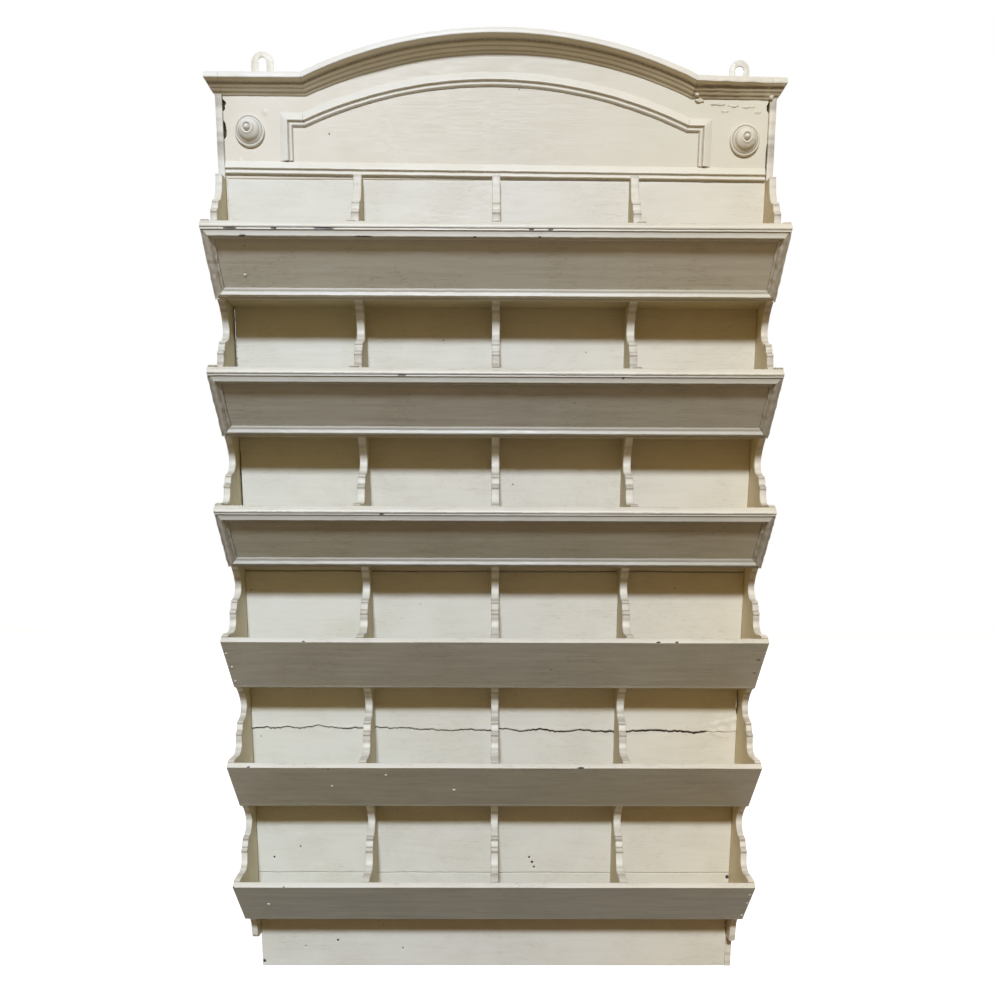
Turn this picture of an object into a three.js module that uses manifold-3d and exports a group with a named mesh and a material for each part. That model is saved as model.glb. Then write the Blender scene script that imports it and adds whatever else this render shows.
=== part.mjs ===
// Painted wooden wall rack: six rows of open-topped bins between two scrolled sides, under an arched frieze.
// Millimetres, +Z up. The wall is the plane y = 0 and the rack faces -y.
// Heights are measured from the bottom edge while the pieces are drawn. The finished group is then lowered,
// so that its origin lies on the wall plane, midway between the holes of the two hanging plates.
import * as THREE from 'three';
import { mergeVertices } from 'three/addons/utils/BufferGeometryUtils.js';
import Module from 'manifold-3d';

// Driving dimensions. "out" is a distance forward from the wall plane.
const gap = 0.3;
const width = 860;
const sideThickness = 10.5;
const dividerThickness = 12.5;
const backThickness = 10;
const shelfThickness = 10;
const rowCount = 6;
const binsPerRow = 4;
const rowPitch = 201;
const lowestRowTop = 194.3;
// The scrolls were marked out at a pitch of their own, so they sit lower against the boards in the upper rows.
const scrollDrops = [5, 6, 4, 1, 0, 0];
const backSeams = [0, 176.5, 435, 705, 960, 1190];
const frontBoard = { thickness: 10, height: 80.5, topOut: 142, bottomOut: 74 };
const framedRows = 3;
const frieze = { bottom: 1303, shoulder: 1440, arch: 61, thickness: 19, sideOut: 21 };
// The cornice's arch was set a little to the right of the middle.
const cornice = { top: 1441.5, height: 26, halfArch: 300, archRise: 62, archX: 4, out: 41, sideProjection: 11 };
const panel = { halfWidth: 332.5, top: 1393.5, halfArch: 298, archRise: 60, legBottom: 1325.5, tilt: 0.0072 };
const lowerBead = { top: 1324.8, length: 836 };
const rosettes = { left: [-379, 1369.5], right: [383.5, 1360.5] };
const hangingHeight = 1466;
const sideEnd = { left: 61.5, rightStep: 57 };

const halfWidth = width / 2;
const innerHalf = halfWidth - sideThickness;
const lean = Math.atan((frontBoard.topOut - frontBoard.bottomOut) / frontBoard.height);
const rowTops = Array.from({ length: rowCount }, (_, row) => lowestRowTop + rowPitch * (rowCount - 1 - row));
const friezeRow = 0;

const wasm = await Module();
wasm.setup();

const rack = new THREE.Group();
rack.position.z = -hangingHeight;

// Materials
const cream = new THREE.MeshStandardMaterial({ color: 0xe6e0d0, roughness: 0.55, metalness: 0 });
const shadedCream = new THREE.MeshStandardMaterial({ color: 0xd8d2c0, roughness: 0.6, metalness: 0 });
const trimCream = new THREE.MeshStandardMaterial({ color: 0xefe9da, roughness: 0.5, metalness: 0 });
const paintedMetal = new THREE.MeshStandardMaterial({ color: 0xd9d4bd, roughness: 0.5, metalness: 0.3 });
const screwMetal = new THREE.MeshStandardMaterial({ color: 0x8b8473, roughness: 0.45, metalness: 0.8 });

function addPiece(name, geometry, material) {
  const mesh = new THREE.Mesh(geometry, material.clone());
  mesh.name = name;
  rack.add(mesh);
  return mesh;
}

// Side view: a shape drawn as (out, height) is as thick as its depth, which runs from rightX towards -x.
const sideViewTurn = new THREE.Quaternion().setFromRotationMatrix(new THREE.Matrix4().makeBasis(
  new THREE.Vector3(0, -1, 0),
  new THREE.Vector3(0, 0, 1),
  new THREE.Vector3(-1, 0, 0),
));

function addFromSideView(name, shape, rightX, leftX, material, curveSegments = 6) {
  const geometry = new THREE.ExtrudeGeometry(shape, {
    depth: rightX - leftX,
    bevelEnabled: false,
    curveSegments,
  });
  const mesh = addPiece(name, geometry, material);
  mesh.quaternion.copy(sideViewTurn);
  mesh.position.x = rightX;
  return mesh;
}

// Front view: a shape drawn as (x, height) rises forward from the wall plane by its depth.
function turnToFront(mesh, out = 0) {
  mesh.rotation.x = Math.PI / 2;
  mesh.position.y = -out;
  return mesh;
}

function polygon(points) {
  return new THREE.Shape(points.map(([a, b]) => new THREE.Vector2(a, b)));
}

// Solids for cutting
function toManifold(geometry) {
  const bare = geometry.clone();
  bare.deleteAttribute('normal');
  bare.deleteAttribute('uv');
  const merged = mergeVertices(bare, 1e-4);
  return new wasm.Manifold(new wasm.Mesh({
    numProp: 3,
    vertProperties: new Float32Array(merged.attributes.position.array),
    triVerts: new Uint32Array(merged.index.array),
  }));
}

function toGeometry(solid) {
  const { vertProperties, triVerts } = solid.getMesh();
  const geometry = new THREE.BufferGeometry();
  geometry.setAttribute('position', new THREE.BufferAttribute(vertProperties, 3));
  geometry.setIndex(new THREE.BufferAttribute(triVerts, 1));
  return geometry;
}

function cut(geometry, cutters) {
  return toGeometry(cutters.reduce(
    (solid, cutter) => solid.subtract(toManifold(cutter)),
    toManifold(geometry),
  ));
}

// A moulding is lofted through stations. Each station places the section's points (across, rise) in space.
function loft(section, stations, closed = false) {
  const count = section.length;
  const positions = stations.flatMap((place) => section.flatMap(([across, rise]) => place(across, rise)));
  const index = [];
  const spans = closed ? stations.length : stations.length - 1;
  for (let station = 0; station < spans; station += 1) {
    const here = station * count;
    const next = ((station + 1) % stations.length) * count;
    for (let corner = 0; corner < count; corner += 1) {
      const beside = (corner + 1) % count;
      index.push(here + corner, here + beside, next + beside);
      index.push(here + corner, next + beside, next + corner);
    }
  }
  if (!closed) {
    const outline = section.map(([across, rise]) => new THREE.Vector2(across, rise));
    const last = (stations.length - 1) * count;
    for (const [a, b, c] of THREE.ShapeUtils.triangulateShape(outline, [])) {
      const clockwise = THREE.ShapeUtils.isClockWise(outline);
      index.push(...(clockwise ? [a, c, b] : [a, b, c]).reverse());
      index.push(...(clockwise ? [a, c, b] : [a, b, c]).map((corner) => last + corner));
    }
  }
  const geometry = new THREE.BufferGeometry();
  geometry.setAttribute('position', new THREE.Float32BufferAttribute(positions, 3));
  geometry.setIndex(signedVolume(positions, index) < 0 ? index.reverse() : index);
  return geometry;
}

function signedVolume(positions, index) {
  const corner = (i) => new THREE.Vector3().fromArray(positions, 3 * index[i]);
  let volume = 0;
  for (let i = 0; i < index.length; i += 3) {
    volume += corner(i).dot(corner(i + 1).cross(corner(i + 2))) / 6;
  }
  return volume;
}

// The direction across a joint in which two runs of one moulding meet, from the directions across each run.
function mitre(a, b) {
  return a.clone().add(b).divideScalar(1 + a.dot(b));
}

function stationAt(x, y, direction) {
  return (across, rise) => [x + across * direction.x, y + across * direction.y, rise];
}

// An arch's centre lies below its middle; the stations run from the left end to the right end.
function archOf(halfChord, rise, endHeight, middle = 0) {
  const radius = (halfChord ** 2 + rise ** 2) / (2 * rise);
  return { middle, radius, centre: endHeight + rise - radius, halfAngle: Math.asin(halfChord / radius) };
}

function archStations(arch, steps, endTrim) {
  return Array.from({ length: steps + 1 }, (_, step) => {
    const angle = THREE.MathUtils.lerp(-arch.halfAngle, arch.halfAngle, step / steps);
    const inward = new THREE.Vector2(-Math.sin(angle), -Math.cos(angle));
    const isEnd = step === 0 || step === steps;
    const trim = isEnd ? -Math.sign(angle) * endTrim : 0;
    const x = arch.middle + arch.radius * Math.sin(angle) + trim * Math.cos(angle);
    const y = arch.centre + arch.radius * Math.cos(angle) - trim * Math.sin(angle);
    return stationAt(x, y, isEnd ? mitre(down, inward) : inward);
  });
}

const down = new THREE.Vector2(0, -1);
const toRight = new THREE.Vector2(1, 0);

function mirrored(stations) {
  return stations.map((place) => (across, rise) => {
    const [x, y, z] = place(across, rise);
    return [-x, y, z];
  });
}

// Side and divider edges
// Where the back of a leaning front board is, at a height above the front board's top arris.
function boardBackOut(height, clearance = gap) {
  const depth = (frontBoard.thickness + clearance) / Math.cos(lean);
  return frontBoard.topOut + height * Math.tan(lean) - depth;
}

// The scrolled edge of one row, drawn downwards: a deep cove under the row above, a fillet, a small ovolo,
// a step, and a second cove that sweeps out to a flat foot behind the top of the front board.
function drawScroll(shape, row) {
  const at = (height) => rowTops[row] + height;
  const cutAt = (height) => at(height - scrollDrops[row]);
  if (row === friezeRow) {
    shape.lineTo(40, at(103));
    shape.quadraticCurveTo(41, cutAt(77), 60, cutAt(63.5));
  } else {
    shape.lineTo(67, at(120.2));
    shape.quadraticCurveTo(45, at(108), 38, cutAt(87));
    shape.quadraticCurveTo(38, cutAt(70), 60, cutAt(63.5));
  }
  shape.lineTo(66, cutAt(62.5));
  shape.lineTo(66, cutAt(58.5));
  shape.quadraticCurveTo(72, cutAt(57), 72, cutAt(47));
  shape.lineTo(79, cutAt(45.5));
  shape.lineTo(79, cutAt(41));
  shape.quadraticCurveTo(78, at(10.5), 106, at(11.5));
  shape.lineTo(126, at(10.5));
  shape.lineTo(boardBackOut(7.5), at(7.5));
}

// Below the lowest row each side narrows to a short tail. The right one keeps a strip down to the bottom edge.
function drawSideEnd(shape, hasStrip) {
  const start = lowestRowTop - frontBoard.height - gap;
  shape.lineTo(66, start);
  shape.quadraticCurveTo(38, start - 8, 36, start - 28);
  if (hasStrip) {
    shape.lineTo(32, sideEnd.rightStep);
    shape.lineTo(backThickness, sideEnd.rightStep);
    shape.lineTo(backThickness, 0);
    shape.lineTo(0, 0);
  } else {
    shape.lineTo(33, sideEnd.left + 9);
    shape.quadraticCurveTo(32, sideEnd.left, 22, sideEnd.left);
    shape.lineTo(0, sideEnd.left);
  }
}

function sideShape(hasStrip) {
  const shape = new THREE.Shape();
  const underBoard = -frontBoard.height - gap;
  shape.moveTo(0, frieze.shoulder);
  shape.lineTo(frieze.sideOut, frieze.shoulder);
  shape.lineTo(frieze.sideOut, rowTops[friezeRow] + 103.5);
  rowTops.forEach((rowTop, row) => {
    drawScroll(shape, row);
    shape.lineTo(boardBackOut(underBoard), rowTop + underBoard);
  });
  drawSideEnd(shape, hasStrip);
  return shape;
}

function dividerShape(row) {
  const rowTop = rowTops[row];
  const shelfTop = rowTop - frontBoard.height + shelfThickness + gap;
  const rear = backThickness + gap;
  const shape = new THREE.Shape();
  shape.moveTo(rear, shelfTop);
  if (row === friezeRow) {
    // Notched over the top back board, which is as thick as the frieze.
    const notch = backSeams[backSeams.length - 1] - gap;
    shape.lineTo(rear, notch);
    shape.lineTo(frieze.thickness + gap, notch);
    shape.lineTo(frieze.thickness + gap, frieze.bottom - gap);
    shape.lineTo(40, frieze.bottom - gap);
  } else {
    shape.lineTo(rear, rowTop + rowPitch - frontBoard.height - gap);
  }
  drawScroll(shape, row);
  shape.lineTo(boardBackOut(shelfTop - rowTop), shelfTop);
  return shape;
}

function addSides() {
  addFromSideView('side_left', sideShape(false), -innerHalf, -halfWidth, cream);
  addFromSideView('side_right', sideShape(true), halfWidth, innerHalf, cream);
}

function addDividers() {
  const binWidth = (2 * innerHalf - (binsPerRow - 1) * dividerThickness) / binsPerRow;
  rowTops.forEach((rowTop, row) => {
    for (let place = 1; place < binsPerRow; place += 1) {
      const leftX = -innerHalf + place * binWidth + (place - 1) * dividerThickness;
      const name = `divider_row${row + 1}_${place}`;
      addFromSideView(name, dividerShape(row), leftX + dividerThickness, leftX, cream, 5);
    }
  });
}

// Back boards lie edge to edge between the sides. The top one is flush with the frieze above it.
function addBackBoards() {
  backSeams.forEach((bottom, board) => {
    const isTop = board + 1 === backSeams.length;
    const height = (isTop ? frieze.bottom : backSeams[board + 1]) - bottom - gap;
    const thickness = isTop ? frieze.thickness : backThickness;
    const boardWidth = 2 * (innerHalf - gap);
    const mesh = addPiece(`back_board_${board + 1}`, new THREE.BoxGeometry(boardWidth, thickness, height), cream);
    mesh.position.set(0, -thickness / 2, bottom + height / 2);
  });
}

// Each row's floor is bevelled to the lean of the front board that stands against it.
function addShelves() {
  rowTops.forEach((rowTop, row) => {
    const under = -frontBoard.height;
    const shape = polygon([
      [backThickness + gap, rowTop + under],
      [boardBackOut(under), rowTop + under],
      [boardBackOut(under + shelfThickness), rowTop + under + shelfThickness],
      [backThickness + gap, rowTop + under + shelfThickness],
    ]);
    addFromSideView(`shelf_row${row + 1}`, shape, innerHalf - gap, -innerHalf + gap, shadedCream);
  });
}

function addFrontBoards() {
  const bottomOutBack = boardBackOut(-frontBoard.height, 0);
  const topBack = frontBoard.thickness * Math.sin(lean);
  rowTops.forEach((rowTop, row) => {
    const shape = polygon([
      [frontBoard.topOut, rowTop],
      [boardBackOut(topBack, 0), rowTop + topBack],
      [bottomOutBack, rowTop - frontBoard.height],
      [frontBoard.bottomOut, rowTop - frontBoard.height],
    ]);
    addFromSideView(`front_board_row${row + 1}`, shape, halfWidth, -halfWidth, shadedCream);
  });
}

// Mouldings
// Section of the picture-frame moulding on a front board, from its outer edge inwards.
const frameSection = [
  [0, 0], [0, 5], [3.2, 5.2], [3.8, 4.4], [5.2, 6.6], [7.8, 7.6], [10.4, 6.8],
  [12.4, 4.2], [13, 3.2], [13.8, 4], [16.2, 3.6], [17, 2.6], [17, 0],
];

function addFrontFrames() {
  const halfLength = halfWidth - 0.5;
  const slant = frontBoard.height / Math.cos(lean);
  const stations = [
    stationAt(-halfLength, 0, new THREE.Vector2(1, -1)),
    stationAt(halfLength, 0, new THREE.Vector2(-1, -1)),
    stationAt(halfLength, -slant, new THREE.Vector2(-1, 1)),
    stationAt(-halfLength, -slant, new THREE.Vector2(1, 1)),
  ];
  for (let row = 0; row < framedRows; row += 1) {
    const mesh = addPiece(`front_frame_row${row + 1}`, loft(frameSection, stations, true), trimCream);
    mesh.rotation.x = Math.PI / 2 + lean;
    mesh.position.set(
      0,
      -frontBoard.topOut - gap * Math.cos(lean),
      rowTops[row] - gap * Math.sin(lean),
    );
  }
}

// Sections of the mouldings on the frieze, from the upper or outer edge: a bevel, a quirk and a bead.
const beadSection = [
  [0, 0], [0, 0.8], [7.2, 5.2], [8, 5.2], [8.8, 3.2], [11.4, 2.4], [12, 3.6],
  [13.6, 5], [15.6, 5], [17, 3.6], [17.6, 1.6], [19, 1.4], [19, 0],
];
const lowerBeadSection = [
  [0, 0], [0, 0.8], [7.6, 5], [8.6, 5], [9.2, 1.6], [13, 1.2], [13.6, 3],
  [14.8, 4.6], [16.8, 4.8], [18.4, 3.6], [19, 1.6], [19, 0],
];

// The mouldings on the frieze were fixed a little out of level: their right ends hang lower.
const tiltedTrim = new THREE.Group();
tiltedTrim.position.z = panel.top;
tiltedTrim.rotation.y = panel.tilt;
rack.add(tiltedTrim);

function addTiltedMoulding(name, stations, section = beadSection) {
  const mesh = turnToFront(addPiece(name, loft(section, stations), trimCream), frieze.thickness + gap);
  mesh.position.z = -panel.top;
  tiltedTrim.add(mesh);
}

function addPanelMoulding() {
  const arch = archOf(panel.halfArch, panel.archRise, panel.top);
  const inward = new THREE.Vector2(Math.sin(arch.halfAngle), -Math.cos(arch.halfAngle));
  const leftRun = [
    stationAt(-panel.halfWidth, panel.legBottom, toRight),
    stationAt(-panel.halfWidth, panel.top, mitre(toRight, down)),
    stationAt(-panel.halfArch - gap / 2, panel.top, mitre(down, inward)),
  ];
  const pieces = {
    panel_moulding_left: leftRun,
    panel_moulding_arch: archStations(arch, 20, gap / 2),
    panel_moulding_right: mirrored(leftRun),
  };
  for (const [name, stations] of Object.entries(pieces)) {
    addTiltedMoulding(name, stations);
  }
}

function addLowerBead() {
  const stations = [-1, 1].map((end) => stationAt(end * lowerBead.length / 2, lowerBead.top, down));
  addTiltedMoulding('frieze_bead', stations, lowerBeadSection);
}

// Cornice section, as height below the top and distance out: a fillet over a crown that slopes back to the
// frieze in an ovolo, two hollows and two beads.
const corniceBack = frieze.thickness + gap;
const corniceProfile = [
  [0, cornice.out], [6.4, cornice.out], [7, 39.6], [10.4, 36.9], [11.2, 35.2], [12, 33.3], [14.2, 32], [15, 32.1],
  [17.2, 30.4], [18.3, 28.4], [20.2, 27.4], [22.2, 25.8], [23.3, 24.1], [cornice.height, 22.2],
];
const frontCorniceSection = [[0, corniceBack], ...corniceProfile, [cornice.height, corniceBack]];
// The returns round the sides carry the same section, but project less than the front does.
const sideShare = cornice.sideProjection / (cornice.out - corniceBack);
const sideAt = (out) => halfWidth + (out - corniceBack) * sideShare;
const returnCorniceSection = [
  [0, halfWidth + gap],
  ...corniceProfile.map(([fall, out]) => [fall, sideAt(out)]),
  [cornice.height, halfWidth + gap],
];

function addCornice() {
  const arch = archOf(cornice.halfArch, cornice.archRise, cornice.top, cornice.archX);
  const inward = new THREE.Vector2(Math.sin(arch.halfAngle), -Math.cos(arch.halfAngle));
  const cornerPlace = (fall, out) => [-sideAt(out), cornice.top - fall, out];
  const runTo = (innerX) => [cornerPlace, stationAt(-innerX - gap / 2, cornice.top, mitre(down, inward))];
  const sideClearance = (sign) => {
    const box = new THREE.BoxGeometry(2 * sideThickness, 80, frieze.sideOut + gap);
    box.translate(sign * (innerHalf - gap + sideThickness), cornice.top - 20, (frieze.sideOut + gap) / 2);
    return box;
  };
  const leftRun = runTo(cornice.halfArch - cornice.archX);
  const rightRun = mirrored(runTo(cornice.halfArch + cornice.archX));
  const leftGeometry = cut(loft(frontCorniceSection, leftRun), [sideClearance(-1)]);
  const rightGeometry = cut(loft(frontCorniceSection, rightRun), [sideClearance(1)]);
  turnToFront(addPiece('cornice_left', leftGeometry, cream));
  turnToFront(addPiece('cornice_arch', loft(frontCorniceSection, archStations(arch, 24, gap / 2)), cream));
  turnToFront(addPiece('cornice_right', rightGeometry, cream));
  const returnRun = [
    (fall, side) => [-side, cornice.top - fall, 0],
    (fall, side) => [-side, cornice.top - fall, corniceBack + (side - halfWidth) / sideShare - 2 * gap],
  ];
  turnToFront(addPiece('cornice_return_left', loft(returnCorniceSection, returnRun), cream));
  turnToFront(addPiece('cornice_return_right', loft(returnCorniceSection, mirrored(returnRun)), cream));
}

// Hanging plates, let into the back of the frieze, with a slot for the wall screw above the cornice.
const plates = {
  left: { x: -359.5, width: 35, top: 1488, slotWidth: 12, slotTop: 1480.5 },
  right: { x: 375, width: 30.5, top: 1480.5, slotWidth: 13.5, slotTop: 1472 },
};
const plateBottom = 1402;
const plateThickness = 2;
const slotBottom = 1451;
const screwHeights = [1412, 1431];
const screw = { headRadius: 3.6, headDepth: 1.7, shankRadius: 1.7, length: 14 };

function roundTopped(x, bottom, top, across) {
  const radius = across / 2;
  const shape = new THREE.Shape();
  shape.moveTo(x - radius, bottom);
  shape.lineTo(x + radius, bottom);
  shape.lineTo(x + radius, top - radius);
  shape.absarc(x, top - radius, radius, 0, Math.PI, false);
  return shape;
}

function slotOutline(plate) {
  const radius = plate.slotWidth / 2;
  const hole = new THREE.Path();
  hole.absarc(plate.x, plate.slotTop - radius, radius, 0, Math.PI, false);
  hole.absarc(plate.x, slotBottom + radius, radius, Math.PI, 2 * Math.PI, false);
  return hole;
}

// Turned about the axis that points forward from the wall, for a shape drawn as (radius, out).
function turned(profile, segments, x, height) {
  const geometry = new THREE.LatheGeometry(profile.map(([r, out]) => new THREE.Vector2(r, out)), segments);
  geometry.rotateX(Math.PI / 2);
  geometry.translate(x, height, 0);
  return geometry;
}

function screwProfile(clearance) {
  const head = screw.headRadius + clearance;
  const shank = screw.shankRadius + clearance;
  const start = clearance ? -1 : 0.15;
  return [
    [0, start], [head, start], [head, 0.4], [shank, screw.headDepth + 0.4],
    [shank, screw.length - 3 + clearance], [0, screw.length + clearance],
  ];
}

function addPlates() {
  for (const [hand, plate] of Object.entries(plates)) {
    const shape = roundTopped(plate.x, plateBottom, plate.top, plate.width);
    shape.holes.push(slotOutline(plate));
    const blank = new THREE.ExtrudeGeometry(shape, { depth: plateThickness, bevelEnabled: false, curveSegments: 14 });
    const holes = screwHeights.map((height) => turned(screwProfile(gap), 20, plate.x, height));
    turnToFront(addPiece(`hanging_plate_${hand}`, cut(blank, holes), paintedMetal));
    screwHeights.forEach((height, place) => {
      const geometry = turned(screwProfile(0), 20, plate.x, height);
      turnToFront(addPiece(`plate_screw_${hand}_${place + 1}`, geometry, screwMetal));
    });
  }
}

// The frieze board rises to an arch and is recessed behind for the two hanging plates.
function addFriezeBoard() {
  const arch = archOf(cornice.halfArch, frieze.arch, frieze.shoulder, cornice.archX);
  const [from, to] = [Math.PI / 2 - arch.halfAngle, Math.PI / 2 + arch.halfAngle];
  const edge = innerHalf - gap;
  const shape = new THREE.Shape();
  shape.moveTo(-edge, frieze.bottom);
  shape.lineTo(edge, frieze.bottom);
  shape.lineTo(edge, frieze.shoulder);
  shape.lineTo(arch.middle + cornice.halfArch, frieze.shoulder);
  shape.absarc(arch.middle, arch.centre, arch.radius, from, to, false);
  shape.lineTo(-edge, frieze.shoulder);
  const blank = new THREE.ExtrudeGeometry(shape, { depth: frieze.thickness, bevelEnabled: false, curveSegments: 24 });
  const cutters = Object.values(plates).flatMap((plate) => {
    const recess = new THREE.BoxGeometry(plate.width + 2 * gap, 100, 2 * (plateThickness + gap));
    recess.translate(plate.x, plateBottom - gap + 50, 0);
    return [recess, ...screwHeights.map((height) => turned(screwProfile(gap), 20, plate.x, height))];
  });
  turnToFront(addPiece('frieze_board', cut(blank, cutters), cream));
}

// Turned rosettes: a rounded base, a hollow neck, a bead and a small button.
const rosetteProfile = [
  [0, 0], [23, 0], [23.2, 2.4], [22.2, 4.4], [20.2, 5.2], [19.2, 4.4], [17.4, 4.8], [13.6, 6.8],
  [11.6, 9.6], [10.8, 12.6], [11, 14.6], [9.8, 16.4], [7.4, 17], [5.6, 15.8], [4.6, 16.6],
  [4, 19.2], [2.2, 20.7], [0, 21],
];

function addRosettes() {
  for (const [hand, [x, height]] of Object.entries(rosettes)) {
    const mesh = addPiece(`rosette_${hand}`, turned(rosetteProfile, 32, x, height), trimCream);
    turnToFront(mesh, frieze.thickness + gap);
  }
}

addSides();
addBackBoards();
addShelves();
addFrontBoards();
addFrontFrames();
addDividers();
addFriezeBoard();
addLowerBead();
addPanelMoulding();
addCornice();
addRosettes();
addPlates();

export default rack;
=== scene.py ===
# %% [markdown]
# # A painted pine wall rack
#
# The real object is a rack for papers or cards: six rows of open-topped bins between two scrolled sides,
# under an arched frieze with a cornice. It is nailed together from pine boards and covered with several
# coats of cream oil paint. The coats soften every edge, fill the hollows of the mouldings and crack along
# the joints of the boards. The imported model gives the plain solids; this file gives them that painted
# surface.

import math

import bmesh
import bpy
from mathutils import Matrix, Vector, kdtree, noise
from mathutils.geometry import delaunay_2d_cdt


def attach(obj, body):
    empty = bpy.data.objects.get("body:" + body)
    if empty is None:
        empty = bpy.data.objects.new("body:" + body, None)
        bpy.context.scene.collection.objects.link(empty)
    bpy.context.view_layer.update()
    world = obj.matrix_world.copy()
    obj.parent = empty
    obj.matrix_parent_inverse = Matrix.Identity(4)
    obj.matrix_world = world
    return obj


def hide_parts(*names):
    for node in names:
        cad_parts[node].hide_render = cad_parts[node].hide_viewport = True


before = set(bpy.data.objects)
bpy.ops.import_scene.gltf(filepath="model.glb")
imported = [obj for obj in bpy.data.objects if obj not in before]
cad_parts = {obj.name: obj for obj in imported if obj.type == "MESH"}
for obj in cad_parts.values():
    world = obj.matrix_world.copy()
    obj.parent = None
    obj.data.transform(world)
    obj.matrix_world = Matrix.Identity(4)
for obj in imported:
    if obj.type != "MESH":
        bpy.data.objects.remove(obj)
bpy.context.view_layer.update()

# %% [markdown]
# ## Sizes
#
# All sizes are real ones in millimetres. A place on the rack is given as (x, out, height): x from the middle
# to the right, out from the wall towards the viewer, height from the bottom edge. One function turns that
# into Blender's metres, with the origin on the wall, midway between the two holes that the rack hangs from.

# %% Sizes of the boards
MM = 0.001
HANGING_HEIGHT = 1466
WIDTH = 860
SIDE, DIVIDER, BACK, SHELF = 10.5, 12.5, 10, 10
GAP = 0.3
HALF = WIDTH / 2
INNER = HALF - SIDE
# The front boards' top arrises, from the top row down.
LOWEST_TOP, ROW_PITCH = 194.3, 201
ROW_TOPS = [LOWEST_TOP + ROW_PITCH * row for row in reversed(range(6))]
BOARD = {"thickness": 10, "height": 80.5, "top_out": 142, "bottom_out": 74}
LEAN = math.atan((BOARD["top_out"] - BOARD["bottom_out"]) / BOARD["height"])
SLANT = BOARD["height"] / math.cos(LEAN)


def in_metres(x, out, height):
    return Vector((x * MM, -out * MM, (height - HANGING_HEIGHT) * MM))


print(f"front boards lean {math.degrees(LEAN):.1f} degrees and are {SLANT:.0f} mm along the slope")

# %% [markdown]
# ## Camera
#
# The photograph was taken from about 1.6 m, level with the rack's middle, with the camera tipped down and
# the picture then cut out around the rack. The cut moved the picture's centre away from the lens's axis,
# which a lens shift repeats. The focal length in pixels and the lens's axis were fitted to the rack's
# straight edges.

# %% Camera
PHOTO_WIDTH, PHOTO_HEIGHT = 994, 995
FOCAL_PIXELS = 950
AXIS_ROW = 743.92
CAMERA_PLACE = Vector((-6.89, -1631.99, -750.76)) * MM
PITCH, YAW, ROLL = 0.18616, 0.00683, -0.003239


def placed(name, data):
    """A new object in the scene."""
    made = bpy.data.objects.new(name, data)
    bpy.context.scene.collection.objects.link(made)
    return made


forward = Vector((math.sin(YAW) * math.cos(PITCH), math.cos(YAW) * math.cos(PITCH), -math.sin(PITCH)))
level_right = Vector((math.cos(YAW), -math.sin(YAW), 0))
level_up = level_right.cross(forward)
right = level_right * math.cos(ROLL) - level_up * math.sin(ROLL)
up = level_right * math.sin(ROLL) + level_up * math.cos(ROLL)

lens = bpy.data.cameras.new("camera")
lens.sensor_fit = "HORIZONTAL"
lens.lens = FOCAL_PIXELS / PHOTO_WIDTH * lens.sensor_width
lens.shift_y = (AXIS_ROW - PHOTO_HEIGHT / 2) / PHOTO_WIDTH
lens.clip_start, lens.clip_end = 0.05, 100
camera = placed("camera", lens)
camera.matrix_world = Matrix.Translation(CAMERA_PLACE) @ Matrix((right, up, -forward)).transposed().to_4x4()
bpy.context.scene.camera = camera
print(f"lens {lens.lens:.2f} mm, shift {lens.shift_y:.4f}")

# %% [markdown]
# ## Colours and nodes
#
# Colours are written as sRGB hex values, as a paint card gives them, and one function turns them to the
# linear values that Blender's shaders work in. Another adds one node to a tree, with its settings and its
# links. Most of a finish is a long chain of sums, ranges and blends, so a third function follows a recipe: a
# list of steps, each with a name for its result, its kind and its inputs.


# %% Helpers for materials
def linear(hex_colour):
    channels = [int(hex_colour[i:i + 2], 16) / 255 for i in (1, 3, 5)]
    return [c / 12.92 if c <= 0.04045 else ((c + 0.055) / 1.055) ** 2.4 for c in channels] + [1.0]


def add(tree, kind, inputs=(), output=0, **settings):
    """Adds a node and returns one of its outputs. inputs: values or linked sockets, by name or number."""
    made = tree.nodes.new(kind)
    for name, value in settings.items():
        setattr(made, name, value)
    for key, value in dict(inputs).items():
        if isinstance(value, bpy.types.NodeSocket):
            tree.links.new(value, made.inputs[key])
        else:
            made.inputs[key].default_value = value
    return made.outputs[output] if made.outputs else None


# A step's kind stands for a node, its inputs in order, its output and its settings. Any other kind is a sum.
STEP_KINDS = {
    "range": ("ShaderNodeMapRange", ("Value", "From Min", "From Max", "To Min", "To Max"), 0, {}),
    "blend": ("ShaderNodeMix", (0, 6, 7), 2, {"data_type": "RGBA"}),
    "tint": ("ShaderNodeMix", (0, 6, 7), 2, {"data_type": "RGBA", "blend_type": "MULTIPLY"}),
    "vector": ("ShaderNodeCombineXYZ", (0, 1, 2), 0, {}),
}


def follow(tree, made, steps):
    """Adds a node for each step. Inputs are numbers, hex colours, sockets or names of earlier results."""
    for name, kind, *given in steps:
        values = [value if not isinstance(value, str) else linear(value) if value[0] == "#" else made[value]
                  for value in given]
        plain_sum = ("ShaderNodeMath", (0, 1), 0, {"operation": kind.upper()})
        node, keys, output, settings = STEP_KINDS.get(kind, plain_sum)
        made[name] = add(tree, node, dict(zip(keys, values)), output, **settings)


def blank_material(name):
    material = bpy.data.materials.new(name)
    material.use_nodes = True
    material.node_tree.nodes.clear()
    return material, material.node_tree


print("cream paint in linear values:", [round(c, 3) for c in linear("#E2DBC9")])

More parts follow.
